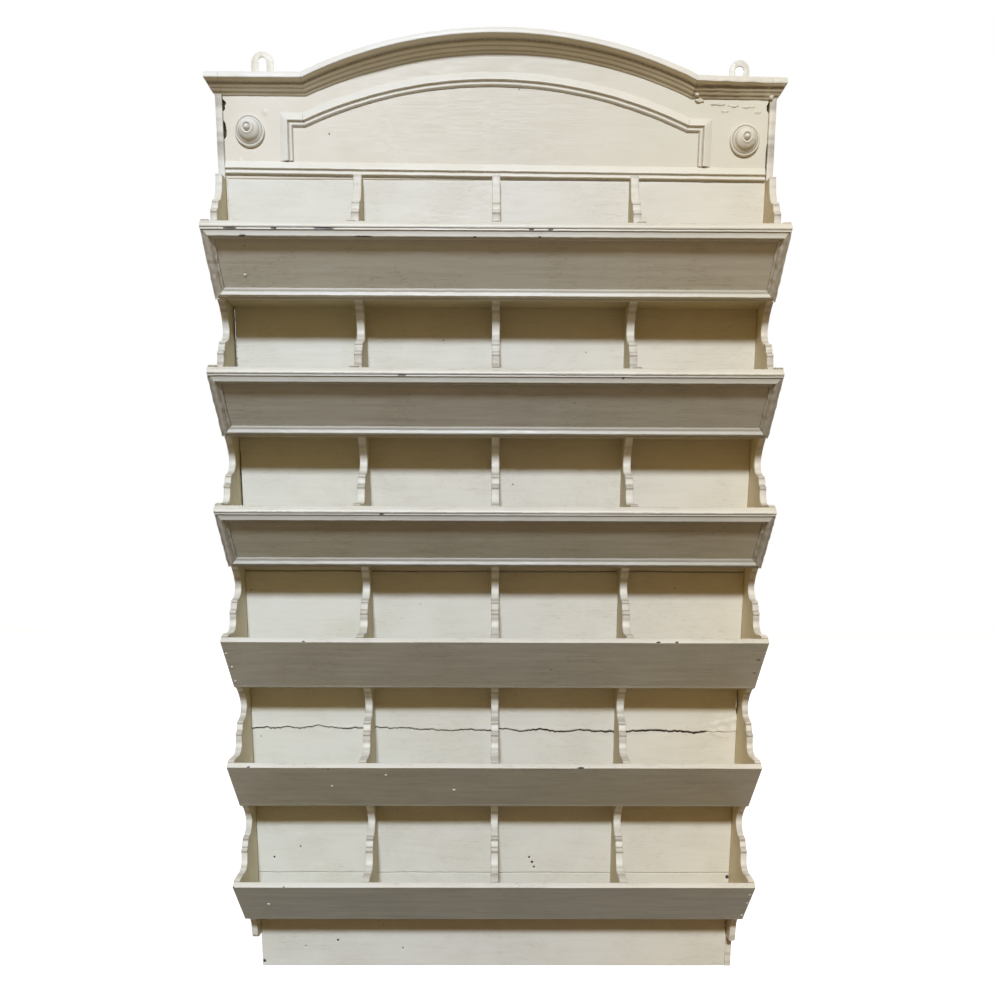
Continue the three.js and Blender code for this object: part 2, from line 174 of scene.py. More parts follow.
# %% [markdown]
# ## Light
#
# In the photograph one broad window lights the rack from in front and above. The lower edges of the leaning
# boards throw shadows on the back that are 44 to 47 mm deep behind edges 64 mm out, so the light comes down
# at about 36 degrees. They grow deeper from row to row downwards, so the window is near: a lamp 10.4 m out
# and 7.4 m up gives the same growth, and also the slow loss of light towards the bottom. The lamp's size
# softens the shadows' edges as much as the photograph does. Daylight is a little cool, and what reaches the
# shadows has come by way of a warm room, so the world's light is warm. On a board that faces the room both
# come to about 1. A second, weaker lamp stands behind, so that the back and the outer faces can be seen too.
# It lights nothing that the photograph shows.

# %% Lamps
# Both lamps face this place on the rack. Their irradiance there is in W per square metre.
AIM = in_metres(0, 0, 520)
WINDOW_OUT, WINDOW_SLOPE, WINDOW_FROM_LEFT = 10.4, 0.716, math.radians(3)
WINDOW_SIZE, WINDOW_IRRADIANCE, DAYLIGHT = 1.6, 3.36, "#DDE8F9"
REAR_PLACE, REAR_SIZE, REAR_IRRADIANCE = Vector((0.5, 6.0, 2.5)), 3.0, 2.2


def disk_lamp(name, place, size, irradiance, colour):
    """A round lamp that faces the rack. It returns how far away it is."""
    way = AIM - place
    light = bpy.data.lights.new(name, "AREA")
    light.shape, light.size = "DISK", size
    light.energy = irradiance * math.pi * way.length_squared
    light.color = linear(colour)[:3]
    lamp = placed(name, light)
    lamp.location = place
    lamp.rotation_euler = way.to_track_quat("-Z", "Y").to_euler()
    return way.length


window_way = Vector((-math.tan(WINDOW_FROM_LEFT), -1, WINDOW_SLOPE))
window_place = AIM + window_way * WINDOW_OUT
window_away = disk_lamp("window light", window_place, WINDOW_SIZE, WINDOW_IRRADIANCE, DAYLIGHT)
disk_lamp("rear light", REAR_PLACE, REAR_SIZE, REAR_IRRADIANCE, "#FFFFFF")
light_falls = math.degrees(math.atan(WINDOW_SLOPE))
print(f"window {window_away:.2f} m away, light comes down at {light_falls:.1f} degrees")

# %% World
WARM_ROOM, ROOM_STRENGTH = "#FFC346", 0.21


def seen_or_felt(tree, felt, seen):
    """seen answers rays from the camera, and those that metal or gloss sends on. felt answers the others."""
    path = add(tree, "ShaderNodeLightPath").node.outputs
    made = {}
    follow(tree, made, [("mirrored", "maximum", path["Is Glossy Ray"], path["Is Transmission Ray"]),
                        ("direct", "maximum", path["Is Camera Ray"], "mirrored")])
    return add(tree, "ShaderNodeMixShader", {0: made["direct"], 1: felt, 2: seen})


world = bpy.data.worlds.new("white studio")
bpy.context.scene.world = world
world.use_nodes = True
world_tree = world.node_tree
world_tree.nodes.clear()
room = add(world_tree, "ShaderNodeBackground", {"Color": linear(WARM_ROOM), "Strength": ROOM_STRENGTH})
backdrop = add(world_tree, "ShaderNodeBackground", {"Color": (1, 1, 1, 1), "Strength": 1.0})
add(world_tree, "ShaderNodeOutputWorld", {"Surface": seen_or_felt(world_tree, room, backdrop)})
bpy.context.scene.view_settings.view_transform = "Standard"
print("world nodes:", len(world_tree.nodes))

# %% [markdown]
# ## Floor
#
# A plain pale floor lies just under the bottom edge. Its own glow for the camera brings it up to the
# backdrop's white, and it still shows the rack's shadow. To the rack's undersides it sends back only the
# dim, warm light that the photograph shows there.

# %% Floor
FLOOR_HALF, FLOOR_GLOW = 9.0, 1.86
floor_paint, floor_tree = blank_material("matt white floor paint")
matt = add(floor_tree, "ShaderNodeBsdfDiffuse", {"Color": linear("#DADADA")})
glow = add(floor_tree, "ShaderNodeEmission", {"Color": (1, 1, 1, 1), "Strength": FLOOR_GLOW})
pale = add(floor_tree, "ShaderNodeMixShader", {0: 0.5, 1: matt, 2: glow})
dim = add(floor_tree, "ShaderNodeBsdfDiffuse", {"Color": linear("#6A5639")})
add(floor_tree, "ShaderNodeOutputMaterial", {"Surface": seen_or_felt(floor_tree, dim, pale)})

floor_level = in_metres(0, 0, -0.5).z
floor_corners = [(FLOOR_HALF * x, FLOOR_HALF * y, floor_level)
                 for x, y in ((-1, -1), (1, -1), (1, 1), (-1, 1))]
floor_mesh = bpy.data.meshes.new("floor")
floor_mesh.from_pydata(floor_corners, [], [(0, 1, 2, 3)])
floor_mesh.materials.append(floor_paint)
floor = placed("floor", floor_mesh)
print("floor at", round(floor_level, 4), "m")

# %% [markdown]
# ## Oil paint on pine
#
# Old oil paint is a thick, satin skin. Brushed along a board, it keeps the brush's furrows, and pine's
# harder late wood stands up under it as long low ridges. The cream is painted yellower and darker where
# the rack lies in shade: that is painted shade. It has chipped on the arrises down to dark wood. All
# patterns run in Object coordinates, stretched along the grain, with their sizes in millimetres. Four
# attributes of the mesh say more: one for grime and for painted shade in hollows, corners and under
# overhangs, one for front faces made darker, more on the lower rows, one for a yellow tint that is mostly
# painted shade, and one for where the paint is gone.


# %% Paint material
def paint_on_pine(name, tones, along, grain_across, relief, gloss, streaks, hairlines=0.0, specks=0.0):
    """tones: the paint at the rack's left, in its middle and at its right, and where it is dirty.

    The grain is so many mm across, and its relief in mm. gloss is the roughness between the brush's furrows.
    """
    material, tree = blank_material(name)
    place = add(tree, "ShaderNodeTexCoord", output="Object")
    # Grain is never straight: the place that the patterns read wanders by up to 12 mm.
    wander = add(tree, "ShaderNodeTexNoise", {"Vector": place, "Scale": 7.0, "Detail": 1.0}, "Fac")
    drift = add(tree, "ShaderNodeMapRange", {"Value": wander, "To Min": -0.012, "To Max": 0.012})
    drifted = add(tree, "ShaderNodeVectorMath", {0: place, 1: drift}, operation="ADD")

    made = dict(add(tree, "ShaderNodeSeparateXYZ", {0: place}).node.outputs)
    # Patterns stretched along the grain: mm along it and across it, detail, roughness, distortion.
    for label, mm_along, mm_across, detail, rough, bend in (
            ("grain", 170, grain_across, 5, 0.6, 0.5), ("brush", 70, 1.5, 3, 0.6, 0.2),
            ("patches", 160, 9, 4, 0.6, 0.3), ("threads", 48, 4.2, 2, 0.5, 0.4)):
        scale = [1000 / mm_across] * 3
        scale["xyz".index(along)] = 1000 / mm_along
        stretched = add(tree, "ShaderNodeMapping", {"Vector": drifted, "Scale": scale})
        made[label] = add(tree, "ShaderNodeTexNoise", {
            "Vector": stretched, "Scale": 1.0, "Detail": detail, "Roughness": rough,
            "Distortion": bend}, "Fac")
    # Patterns that run no way: how many to the metre, detail, roughness.
    for label, to_metre, detail, rough in (
            ("mottle", 9.0, 4, 0.6), ("cloud", 2.6, 2, 0.5), ("crumbs", 260.0, 4, 0.7)):
        made[label] = add(tree, "ShaderNodeTexNoise", {
            "Vector": place, "Scale": to_metre, "Detail": detail, "Roughness": rough}, "Fac")
    for label in ("soiled", "yellowed", "grime", "bare"):
        made[label] = add(tree, "ShaderNodeAttribute", output="Fac", attribute_name=label)
    # Old pin holes and knocks are small dots, in some of the cells of a 40 mm pattern.
    cells = add(tree, "ShaderNodeTexVoronoi", {"Vector": drifted, "Scale": 25.0}).node.outputs
    made |= {"from dot": cells["Distance"], "lot": add(tree, "ShaderNodeSeparateColor", {0: cells["Color"]})}

    follow(tree, made, [
        # The cream, from left to right, a little darker towards the top, with streaks and clouds.
        ("to middle", "range", "X", -0.36, 0.02),
        ("left half", "blend", "to middle", tones[0], tones[1]),
        ("to right", "range", "X", 0.02, 0.4),
        ("cloudy", "range", "cloud", 0.35, 0.65, -0.12, 0.12),
        ("right half", "add", "to right", "cloudy"),
        ("whole", "blend", "right half", "left half", tones[2]),
        ("upwards", "range", "Z", -0.9, 0.0, 0.0, 0.035),
        ("dimmed", "blend", "upwards", "whole", "#000000"),
        ("streak", "range", "grain", 0.36, 0.52, streaks, 0.0),
        ("streaked", "blend", "streak", "dimmed", tones[3]),
        ("mottling", "range", "mottle", 0.42, 0.7, 0.0, 0.24),
        ("mottled", "blend", "mottling", "streaked", tones[3]),
        # The faces are made darker in patches, more on the lower rows, and the yellow tint is mostly painted
        # shade.
        ("patchy", "range", "patches", 0.35, 0.65, 0.88, 1.08),
        ("soil", "multiply", "soiled", "patchy"),
        ("handled", "blend", "soil", "mottled", "#15130F"),
        ("aged", "tint", "yellowed", "handled", "#F8EFD1"),
        # Fine cracks in the coats follow the grain.
        ("off thread", "subtract", "threads", 0.5),
        ("near thread", "absolute", "off thread"),
        ("thread", "range", "near thread", 0.004, 0.02, 1.0, 0.0),
        ("threads here", "range", "mottle", 0.46, 0.54, 0.0, hairlines),
        ("hairline", "multiply", "thread", "threads here"),
        ("faint hairline", "multiply", "hairline", 0.28),
        ("crazed", "blend", "faint hairline", "aged", "#5A5040"),
        ("dot here", "range", "lot", 0.5, 0.52, 0.0, specks),
        ("dot", "range", "from dot", 0.028, 0.045, 1.0, 0.0),
        ("dot drawn", "multiply", "dot", "dot here"),
        ("dotted", "blend", "dot drawn", "crazed", "#6B5C45"),
        # Grime and painted shade mix in a dark brown, and with chips they have crumbling edges. Under a chip
        # is dark old wood.
        ("crumbling", "range", "crumbs", 0.3, 0.7, -0.22, 0.22),
        ("uneven grime", "multiply", "crumbling", "grime"),
        ("whole grime", "add", "grime", "uneven grime"),
        ("dirt", "range", "whole grime", 0.0, 1.0),
        ("dirty", "blend", "dirt", "dotted", "#7C6B4F"),
        ("chip", "add", "bare", "crumbling"),
        ("chipped", "range", "chip", 0.44, 0.56),
        ("late wood", "range", "grain", 0.4, 0.6),
        ("wood", "blend", "late wood", "#1C140E", "#36281B"),
        ("colour", "blend", "chipped", "dirty", "wood"),
        # Furrows of the brush and ridges of the grain.
        ("roughness", "range", "brush", 0.3, 0.7, gloss - 0.07, gloss + 0.1),
        ("ridges", "multiply", "grain", 0.65),
        ("furrows", "multiply", "brush", 0.35),
        ("coats", "add", "ridges", "furrows"),
        ("cracks", "multiply", "hairline", 0.35),
        ("height", "subtract", "coats", "cracks"),
    ])
    bump = add(tree, "ShaderNodeBump", {"Height": made["height"], "Distance": relief * MM, "Strength": 1.0})
    surface = add(tree, "ShaderNodeBsdfPrincipled", {
        "Base Color": made["colour"], "Roughness": made["roughness"], "IOR": 1.48, "Normal": bump})
    add(tree, "ShaderNodeOutputMaterial", {"Surface": surface})
    return material


CREAM = ("#E3E2D5", "#DFDBCD", "#E8DEC5", "#C9BFA4")
FRIEZE_CREAM = ("#E5DDCB", "#D5CDB8", "#E3D9BC", "#C9BFA3")
TRIM_CREAM = ("#EDECE2", "#EBE8DC", "#ECE3CB", "#D2C9B0")
back_paint = paint_on_pine("oil paint on smooth pine", CREAM, "x", 9.0, 0.2, 0.5, 0.12, 0.5, 0.8)
front_paint = paint_on_pine("oil paint on weathered pine", CREAM, "x", 4.2, 0.26, 0.5, 0.2, 1.0, 0.5)
frieze_paint = paint_on_pine("oil paint on the frieze", FRIEZE_CREAM, "x", 9.0, 0.08, 0.48, 0.06)
upright_paint = paint_on_pine("oil paint on upright pine", CREAM, "z", 3.0, 0.16, 0.5, 0.2, 0.4)
moulding_paint = paint_on_pine("oil paint on pine mouldings", TRIM_CREAM, "x", 4.0, 0.1, 0.42, 0.12, 0.3)
paints = (back_paint, front_paint, frieze_paint, upright_paint, moulding_paint)
print("paints:", [paint.name for paint in paints])

# %% [markdown]
# ## Metal
#
# The hanging plates are steel straps, painted over with the rack. Paint on steel has no grain: it shows
# runs, specks of rust and a smoother gloss. The screws are plain steel, darkened with age.


# %% Metal materials
def old_steel(name, tones, patches_to_metre, relief, rough_range, finish, rust):
    """tones: the surface's two colours. finish: the shader's values besides colour, roughness and relief."""
    material, tree = blank_material(name)
    place = add(tree, "ShaderNodeTexCoord", output="Object")
    made = {}
    for label, to_metre, detail in (("patches", patches_to_metre, 4.0), ("specks", 700.0, 2.0)):
        made[label] = add(tree, "ShaderNodeTexNoise", {
            "Vector": place, "Scale": to_metre, "Detail": detail}, "Fac")
    follow(tree, made, [
        ("tarnished", "blend", "patches", *tones),
        ("rusted", "range", "specks", 0.66, 0.72, 0.0, rust),
        ("colour", "blend", "rusted", "tarnished", "#8A6B4A"),
        ("roughness", "range", "patches", 0.0, 1.0, *rough_range),
    ])
    bump = add(tree, "ShaderNodeBump", {"Height": made["patches"], "Distance": relief * MM})
    surface = add(tree, "ShaderNodeBsdfPrincipled", {
        "Base Color": made["colour"], "Roughness": made["roughness"], "Normal": bump, **finish})
    add(tree, "ShaderNodeOutputMaterial", {"Surface": surface})
    return material


plate_paint = old_steel(
    "oil paint on steel", ("#E2DFCF", "#D3CDB6"), 220.0, 0.15, (0.35, 0.55), {"IOR": 1.48}, 1.0)
screw_steel = old_steel(
    "aged steel screw", ("#8E8878", "#5A4A38"), 900.0, 0.05, (0.3, 0.6), {"Metallic": 1.0}, 0.0)
print("metals:", plate_paint.name, "/", screw_steel.name)

# %% [markdown]
# ## Making a piece
#
# Most pieces below are a list of points in millimetres and a list of faces. One function makes the mesh,
# turns its faces outwards, shades it smooth except at sharp edges, gives it its material, parents it to the
# body that it rides on, and hides the imported node that it stands for.


# %% Helpers for meshes
# Where two faces meet at more than this, the edge stays sharp.
CREASE = math.radians(38)


# The three parts of an uneven step are one noise, read at places this far apart.
APART = (Vector((9.3, -1.5, -7.9)), Vector((0, 0, 0)), Vector((6.3, 0.2, -2.7)))


def uneven(point, amount, spread, seed=0.0):
    """Hand-planed wood and brushed paint are never quite true: each point moves by a smooth random step."""
    place = Vector(point)
    sampled = place / spread + Vector((seed, seed, seed))
    return place + Vector([noise.noise(sampled + apart) for apart in APART]) * amount


def declare(piece, slot, node):
    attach(piece, "root")
    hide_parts(node)
    return piece


def make_piece(node, points, faces, material, marks, slot="painted_wood", name=None):
    """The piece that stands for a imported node. marks: values for its points, by attribute."""
    name = name or f"{node}_painted"
    mesh = bpy.data.meshes.new(name)
    mesh.from_pydata([in_metres(*point) for point in points], [], faces)
    for label, values in marks.items():
        mesh.attributes.new(label, "FLOAT", "POINT").data.foreach_set("value", values)
    solid = bmesh.new()
    solid.from_mesh(mesh)
    bmesh.ops.recalc_face_normals(solid, faces=solid.faces)
    solid.to_mesh(mesh)
    solid.free()
    mesh.shade_smooth()
    mesh.set_sharp_from_angle(angle=CREASE)
    mesh.materials.append(material)
    return declare(placed(name, mesh), slot, node)


def ring_faces(count, rings, start=0):
    """Faces between rings of points that follow one another in the list."""
    return [[here + i, here + (i + 1) % count, here + count + (i + 1) % count, here + count + i]
            for here in range(start, start + (rings - 1) * count, count) for i in range(count)]


def together(parts):
    """Several lists of points and faces as one."""
    points, faces = [], []
    for some_points, some_faces in parts:
        start = len(points)
        points += some_points
        faces += [[start + i for i in face] for face in some_faces]
    return points, faces


print("edges stay sharp over", round(math.degrees(CREASE)), "degrees")

# %% [markdown]
# ## Boards sawn to an outline
#
# The sides and dividers are flat boards with a sawn outline. Each is built as rings: the outline, drawn in a
# little and carried across the board's thickness, so that its edges come out rounded by the paint. The flat
# faces are filled with triangles by a Delaunay triangulation, with points inside that make them uneven too.


# %% Outline helpers
def curve(start, control, end, steps=10):
    """A sawn curve, as a parabola between two points, without its first point."""
    made = []
    for step in range(1, steps + 1):
        t = step / steps
        made.append(tuple((1 - t) ** 2 * a + 2 * t * (1 - t) * b + t * t * c
                          for a, b, c in zip(start, control, end)))
    return made


def spaced(outline, step):
    """The outline with its long stretches divided."""
    made = []
    for here, after in zip(outline, outline[1:] + outline[:1]):
        count = max(1, round(math.dist(here, after) / step))
        made += [tuple(a + (b - a) * i / count for a, b in zip(here, after)) for i in range(count)]
    return made


def drawn_in(outline, distance):
    """Each corner moved inwards, along the line that halves it. The outline runs anticlockwise."""
    made = []
    for before, here, after in zip(outline[-1:] + outline[:-1], outline, outline[1:] + outline[:1]):
        first = (Vector(here) - Vector(before)).normalized()
        second = (Vector(after) - Vector(here)).normalized()
        inward = Vector((-first.y - second.y, first.x + second.x)) / max(0.5, 1 + first.dot(second))
        made.append(tuple(Vector(here) + inward * distance))
    return made


def encloses(outline, place):
    """Whether a line from the place outwards crosses the outline an odd number of times."""
    crossings = 0
    for (a, b), (c, d) in zip(outline, outline[1:] + outline[:1]):
        if (b > place[1]) != (d > place[1]) and place[0] < a + (place[1] - b) / (d - b) * (c - a):
            crossings += 1
    return crossings % 2 == 1


def filled(outline, step=14.0):
    """The points added inside an outline, and triangles over its own points and the added ones."""
    near = kdtree.KDTree(len(outline))
    for i, place in enumerate(outline):
        near.insert((*place, 0), i)
    near.balance()
    low, high = ([pick(p[k] for p in outline) for k in (0, 1)] for pick in (min, max))
    counts = [int((high[k] - low[k]) / step) for k in (0, 1)]
    grid = [(low[0] + (i + 0.5) * step, low[1] + (j + 0.5) * step)
            for i in range(counts[0]) for j in range(counts[1])]
    added = [p for p in grid if near.find((*p, 0))[2] > step * 0.45 and encloses(outline, p)]
    places = [Vector(p) for p in (*outline, *added)]
    made = delaunay_2d_cdt(places, [], [list(range(len(outline)))], 1, 1e-4)
    source = [given[0] if given else None for given in made[3]]
    triangles = [[source[i] for i in face] for face in made[2]]
    return added, [t for t in triangles if None not in t and len(set(t)) == 3]


def sawn_board(outline, left, right, radius, seed, amount, spread=30.0):
    """A board from left to right: points and faces, and for each point whether it is on a flat face."""
    area = sum(a[0] * b[1] - b[0] * a[1] for a, b in zip(outline, outline[1:] + outline[:1]))
    outline = outline if area > 0 else outline[::-1]
    turns = [math.radians(angle) for angle in (0, 30, 60, 90)]
    rounding = [(0.0, radius + 0.5)]
    rounding += [(radius - radius * math.cos(turn), radius - radius * math.sin(turn)) for turn in turns]
    rings = [(left + depth, inset) for depth, inset in rounding]
    rings += [(right - depth, inset) for depth, inset in reversed(rounding)]
    count = len(outline)
    added, triangles = filled(drawn_in(outline, radius + 0.5))
    ringed = [(x, out, height) for x, inset in rings for out, height in drawn_in(outline, inset)]
    inside = [(x, out, height) for x in (left, right) for out, height in added]
    points = [uneven(p, amount, spread, seed) for p in ringed + inside]
    faces = []
    for first_ring, first_added in ((0, len(ringed)), (len(ringed) - count, len(ringed) + len(added))):
        faces += [[first_ring + i if i < count else first_added + i - count for i in t] for t in triangles]
    edges = count * (len(rings) - 2)
    flat = [1.0] * count + [0.0] * edges + [1.0] * (count + len(inside))
    return points, faces + ring_faces(count, len(rings)), flat


print("a curve of 10 steps has", len(curve((0, 0), (5, 8), (10, 0))), "new points")


# %% The scroll
SCROLL_DROPS = [5, 6, 4, 1, 0, 0]
FRIEZE_ROW = 0


def board_back_out(height):
    """How far out the back of a front board is, with its gap, at a height above its top front edge."""
    depth = (BOARD["thickness"] + GAP) / math.cos(LEAN)
    return BOARD["top_out"] + height * math.tan(LEAN) - depth


# The scroll's inner corners, as (out, height above the front board), darkened with painted shade.
FILLET_CORNERS = [(60, 63.5), (66, 58.5), (72, 46.6), (79, 41)]
# Painted shade on the flat faces inside the rack, where little light comes: a yellow tint, and darker
# dividers' faces.
INSIDE_SHADE_YELLOW, DIVIDER_SHADE_YELLOW, DIVIDER_SHADE = 0.75, 1.0, 0.2


def upright_marks(points, flat):
    """Painted shade in the scroll's inner corners and on the faces inside the rack, and grime in patches
    along its edge.
    """
    corners = [(out, ROW_TOPS[row] + height - drop) for row, drop in enumerate(SCROLL_DROPS)
               for out, height in FILLET_CORNERS]
    grime, yellowed = [], []
    for (x, out, height), on_flat in zip(points, flat):
        away = min(math.dist((out, height), corner) for corner in corners)
        patch = 0.75 * max(0.0, noise.noise(Vector((out / 6, height / 8, 3.3))) + 0.12) * (1 - on_flat)
        on_divider = abs(x) < INNER - 20
        # The darkening of a divider's faces is painted shade.
        on_face = DIVIDER_SHADE * on_flat if on_divider else 0.0
        grime.append(max(0.9 * max(0.0, 1 - away / 2.4), patch, on_face))
        yellow = DIVIDER_SHADE_YELLOW if on_divider else INSIDE_SHADE_YELLOW
        yellowed.append(yellow * on_flat if abs(x) < HALF - 2 else 0.0)
    return {"grime": grime, "yellowed": yellowed}


def scroll(row):
    """The sawn edge of one row, downwards: a deep cove, a fillet, an ovolo, a step and a cove to the foot."""
    def at(height):
        return ROW_TOPS[row] + height

    def cut_at(height):
        return at(height - SCROLL_DROPS[row])

    if row == FRIEZE_ROW:
        line = [(40, at(103))] + curve((40, at(103)), (41, cut_at(77)), (60, cut_at(63.5)), 14)
    else:
        line = [(67, at(120.2))] + curve((67, at(120.2)), (45, at(108)), (38, cut_at(87)), 12)
        line += curve((38, cut_at(87)), (38, cut_at(70)), (60, cut_at(63.5)), 12)
    line += [(66, cut_at(62.5)), (66, cut_at(58.5))]
    line += curve((66, cut_at(58.5)), (72, cut_at(57)), (72, cut_at(47)), 7)
    line += [(79, cut_at(45.5)), (79, cut_at(41))]
    line += curve((79, cut_at(41)), (78, at(10.5)), (106, at(11.5)), 14)
    return line + [(126, at(10.5)), (board_back_out(7.5), at(7.5))]


print("points on one scroll:", len(scroll(2)))

# %% [markdown]
# ## Sides
#
# Each side is one board from top to bottom. The left one ends in a rounded tail, and the right one keeps a
# strip down to the bottom edge.

# %% Sides
FRIEZE = {"bottom": 1303, "shoulder": 1440, "arch": 60, "thickness": 19, "side_out": 21}
SIDE_END = {"left": 61.5, "right_step": 57}
EDGE_STEP = 2.2


def side_outline(has_strip):
    under = -BOARD["height"] - GAP
    line = [(0, FRIEZE["shoulder"]), (FRIEZE["side_out"], FRIEZE["shoulder"]),
            (FRIEZE["side_out"], ROW_TOPS[FRIEZE_ROW] + 103.5)]
    for row, top in enumerate(ROW_TOPS):
        line += scroll(row) + [(board_back_out(under), top + under)]
    start = ROW_TOPS[-1] + under
    line += [(66, start)] + curve((66, start), (38, start - 8), (36, start - 28))
    if has_strip:
        line += [(32, SIDE_END["right_step"]), (BACK, SIDE_END["right_step"]), (BACK, 0), (0, 0)]
    else:
        line += [(33, SIDE_END["left"] + 9)]
        line += curve((33, SIDE_END["left"] + 9), (32, SIDE_END["left"]), (22, SIDE_END["left"]))
        line += [(0, SIDE_END["left"])]
    return spaced(line, EDGE_STEP)


for name, left, has_strip in (("side_left", -HALF, False), ("side_right", INNER, True)):
    side_points, side_faces, flat = sawn_board(side_outline(has_strip), left, left + SIDE, 1.1, left, 0.22)
    make_piece(name, side_points, side_faces, upright_paint, upright_marks(side_points, flat))
    print(name, len(side_points), "points")

# %% [markdown]
# ## Dividers
#
# Three dividers stand in each row. They were sawn to the same pattern as the sides.

# %% Dividers
TOP_BACK_BOTTOM = 1190
BIN = (2 * INNER - 3 * DIVIDER) / 4


def divider_outline(row):
    top = ROW_TOPS[row]
    shelf_top = top - BOARD["height"] + SHELF + GAP
    rear = BACK + GAP
    if row == FRIEZE_ROW:
        # Notched over the top back board, which is as thick as the frieze.
        notch, notch_out = TOP_BACK_BOTTOM - GAP, FRIEZE["thickness"] + GAP
        line = [(rear, shelf_top), (rear, notch), (notch_out, notch), (notch_out, FRIEZE["bottom"] - GAP),
                (40, FRIEZE["bottom"] - GAP)]
    else:
        line = [(rear, shelf_top), (rear, top + ROW_PITCH - BOARD["height"] - GAP)]
    return spaced(line + scroll(row) + [(board_back_out(shelf_top - top), shelf_top)], EDGE_STEP)


for row in range(6):
    outline = divider_outline(row)
    for place in (1, 2, 3):
        left = -INNER + place * BIN + (place - 1) * DIVIDER
        divider_points, divider_faces, flat = sawn_board(
            outline, left, left + DIVIDER, 1.2, 7.0 * row + place, 0.3, 26.0)
        node = f"divider_row{row + 1}_{place}"
        make_piece(node, divider_points, divider_faces, upright_paint, upright_marks(divider_points, flat))
print("dividers: 18, each", len(divider_points), "points")

# %% [markdown]
# ## Boards with a worked surface
#
# The back boards and the frieze show their whole face, so each is a grid of points that can sink at the
# edges, at a joint, in a crack or in a hole. A board is its front grid, its back grid and a rim between
# them.


# %% Grid helper
# Where an edge is rounded, the grid has places this far from its end.
RIM = (0.0, 0.4, 1.1, 2.2)
CLOSEST = 0.25


def graded(start, end, step, extra=()):
    """Places along a board, closer together at its ends and around the extra places."""
    first, last = start + RIM[-1], end - RIM[-1]
    count = max(2, round((last - first) / step))
    places = {round(first + (last - first) * i / count, 3) for i in range(count + 1)}
    places |= {round(start + r, 3) for r in RIM} | {round(end - r, 3) for r in RIM}
    places |= {round(p, 3) for p in extra if start < p < end}
    kept = []
    for p in sorted(places):
        if not kept or p - kept[-1] > CLOSEST or p == round(end, 3):
            kept.append(p)
    return kept


def rounded_edge(distance, radius=1.3):
    """How far the surface falls back at a distance from a rounded edge."""
    if distance >= radius:
        return 0.0
    return radius - math.sqrt(max(0.0, radius ** 2 - (radius - distance) ** 2))


def worked_board(across, upward, front, back):
    """front and back give (x, out, height, grime and painted shade, bare) for a place on the grid."""
    columns, rows = len(across), len(upward)
    made = [front(a, u) for u in upward for a in across] + [back(a, u) for u in upward for a in across]
    points = [m[:3] for m in made]
    marks = {"grime": [m[3] for m in made], "bare": [m[4] for m in made]}
    behind = columns * rows
    faces = []
    for r in range(rows - 1):
        for c in range(columns - 1):
            i = r * columns + c
            faces.append([i, i + 1, i + 1 + columns, i + columns])
            faces.append([behind + i, behind + i + columns, behind + i + 1 + columns, behind + i + 1])
    rim = [*range(columns), *[(r + 1) * columns - 1 for r in range(1, rows)],
           *[(rows - 1) * columns + c for c in range(columns - 2, -1, -1)],
           *[r * columns for r in range(rows - 2, 0, -1)]]
    for here, after in zip(rim, rim[1:] + rim[:1]):
        faces.append([here, behind + here, behind + after, after])
    return points, faces, marks


def jag(x, spread, seed):
    """A smooth random value from -1 to 1 along a line."""
    return noise.noise(Vector((x / spread, seed, 0.5)))


# A pit's hollow reaches this many of its half widths from its middle.
PIT_REACH = 1.6
PIT_STEPS = (-PIT_REACH, -1.0, -0.5, 0.0, 0.5, 1.0, PIT_REACH)


def pitted(x, height, pits):
    """How deep and how bare the surface is near pits. A lump is a pit of negative depth."""
    depth, bare = 0.0, 0.0
    for pit_x, pit_height, size, pit_depth, worn in pits:
        reach = math.hypot(x - pit_x, height - pit_height) / size
        if reach < PIT_REACH:
            depth += pit_depth * (1 - (reach / PIT_REACH) ** 2)
            bare = max(bare, worn * max(0.0, 1.5 - reach))
    return depth, bare


def pit_places(pits, axis):
    return [pit[axis] + step * pit[2] for pit in pits for step in PIT_STEPS]


# The part of a board that gives way where its end has shrunk back, and over which the gap opens and closes.
END_PULLED, END_FADE = 7, 4


def end_gap(x, height, edge, gaps):
    """At a board's shrunken end, how far its edge stands back (x, out) and how bare it is."""
    for side, low, high, wide in gaps:
        from_end = edge - side * x
        if low < height < high and from_end < END_PULLED:
            fade = min(1.0, (height - low) / END_FADE, (high - height) / END_FADE)
            open_by = fade * wide * (0.85 + 0.35 * jag(height, 6, 2.0 + side) + 0.3 * jag(height, 2.4, 4.0))
            pull = max(0.0, 1 - from_end / END_PULLED)
            step_back = -side * max(0.0, open_by) * pull
            return step_back, 1.5 if from_end < 0.3 else 0.0, 0.9 if from_end < 0.8 else 0.0
    return 0.0, 0.0, 0.0


pitted_board = graded(0, 100, 4, pit_places([(50, 0, 2)], 0))
print("places on a 100 mm board with a pit in its middle:", len(pitted_board))

# %% [markdown]
# ## Back boards
#
# Six boards lie edge to edge, and the top one is as thick as the frieze above it. The joint behind the fifth
# row has cracked open in a wandering line, wide on the right, where a lump of filler ends it. The ones
# behind the fourth and sixth rows show as thin lines in the paint. Boards have also shrunk away from the
# sides in places.

# %% The joints between the back boards
SEAMS = [0, 176.5, 435, 705, 960, TOP_BACK_BOTTOM, FRIEZE["bottom"]]
# Where the crack behind the fifth row runs: (x, height above the joint).
CRACK = [(-430, 0), (-420, 0.2), (-402, 3.7), (-380, 1.1), (-354, 3.8), (-328, 3.0), (-305, 6.5),
         (-285, 4.8), (-259, 0.5), (-236, 2.3), (-207, 4.1), (-181, 2.4), (-155, 3.3), (-129, -0.1),
         (-95, -0.9), (-69, -2.6), (-43, 0.1), (-12, -2.5), (18, 1.1), (44, -3.3), (79, 1.2), (113, -4.0),
         (148, -0.4), (183, -2.1), (226, -3.8), (261, -1.9), (296, -1.0), (339, -3.5), (370, -3.5),
         (430, -4.0)]
CRACKED_SEAM, PLAIN_SEAM, FILLED_SEAM = 2, 3, 1
FILLER = {"left": 366, "right": 428, "low": 412, "high": 462, "rise": 2.0}


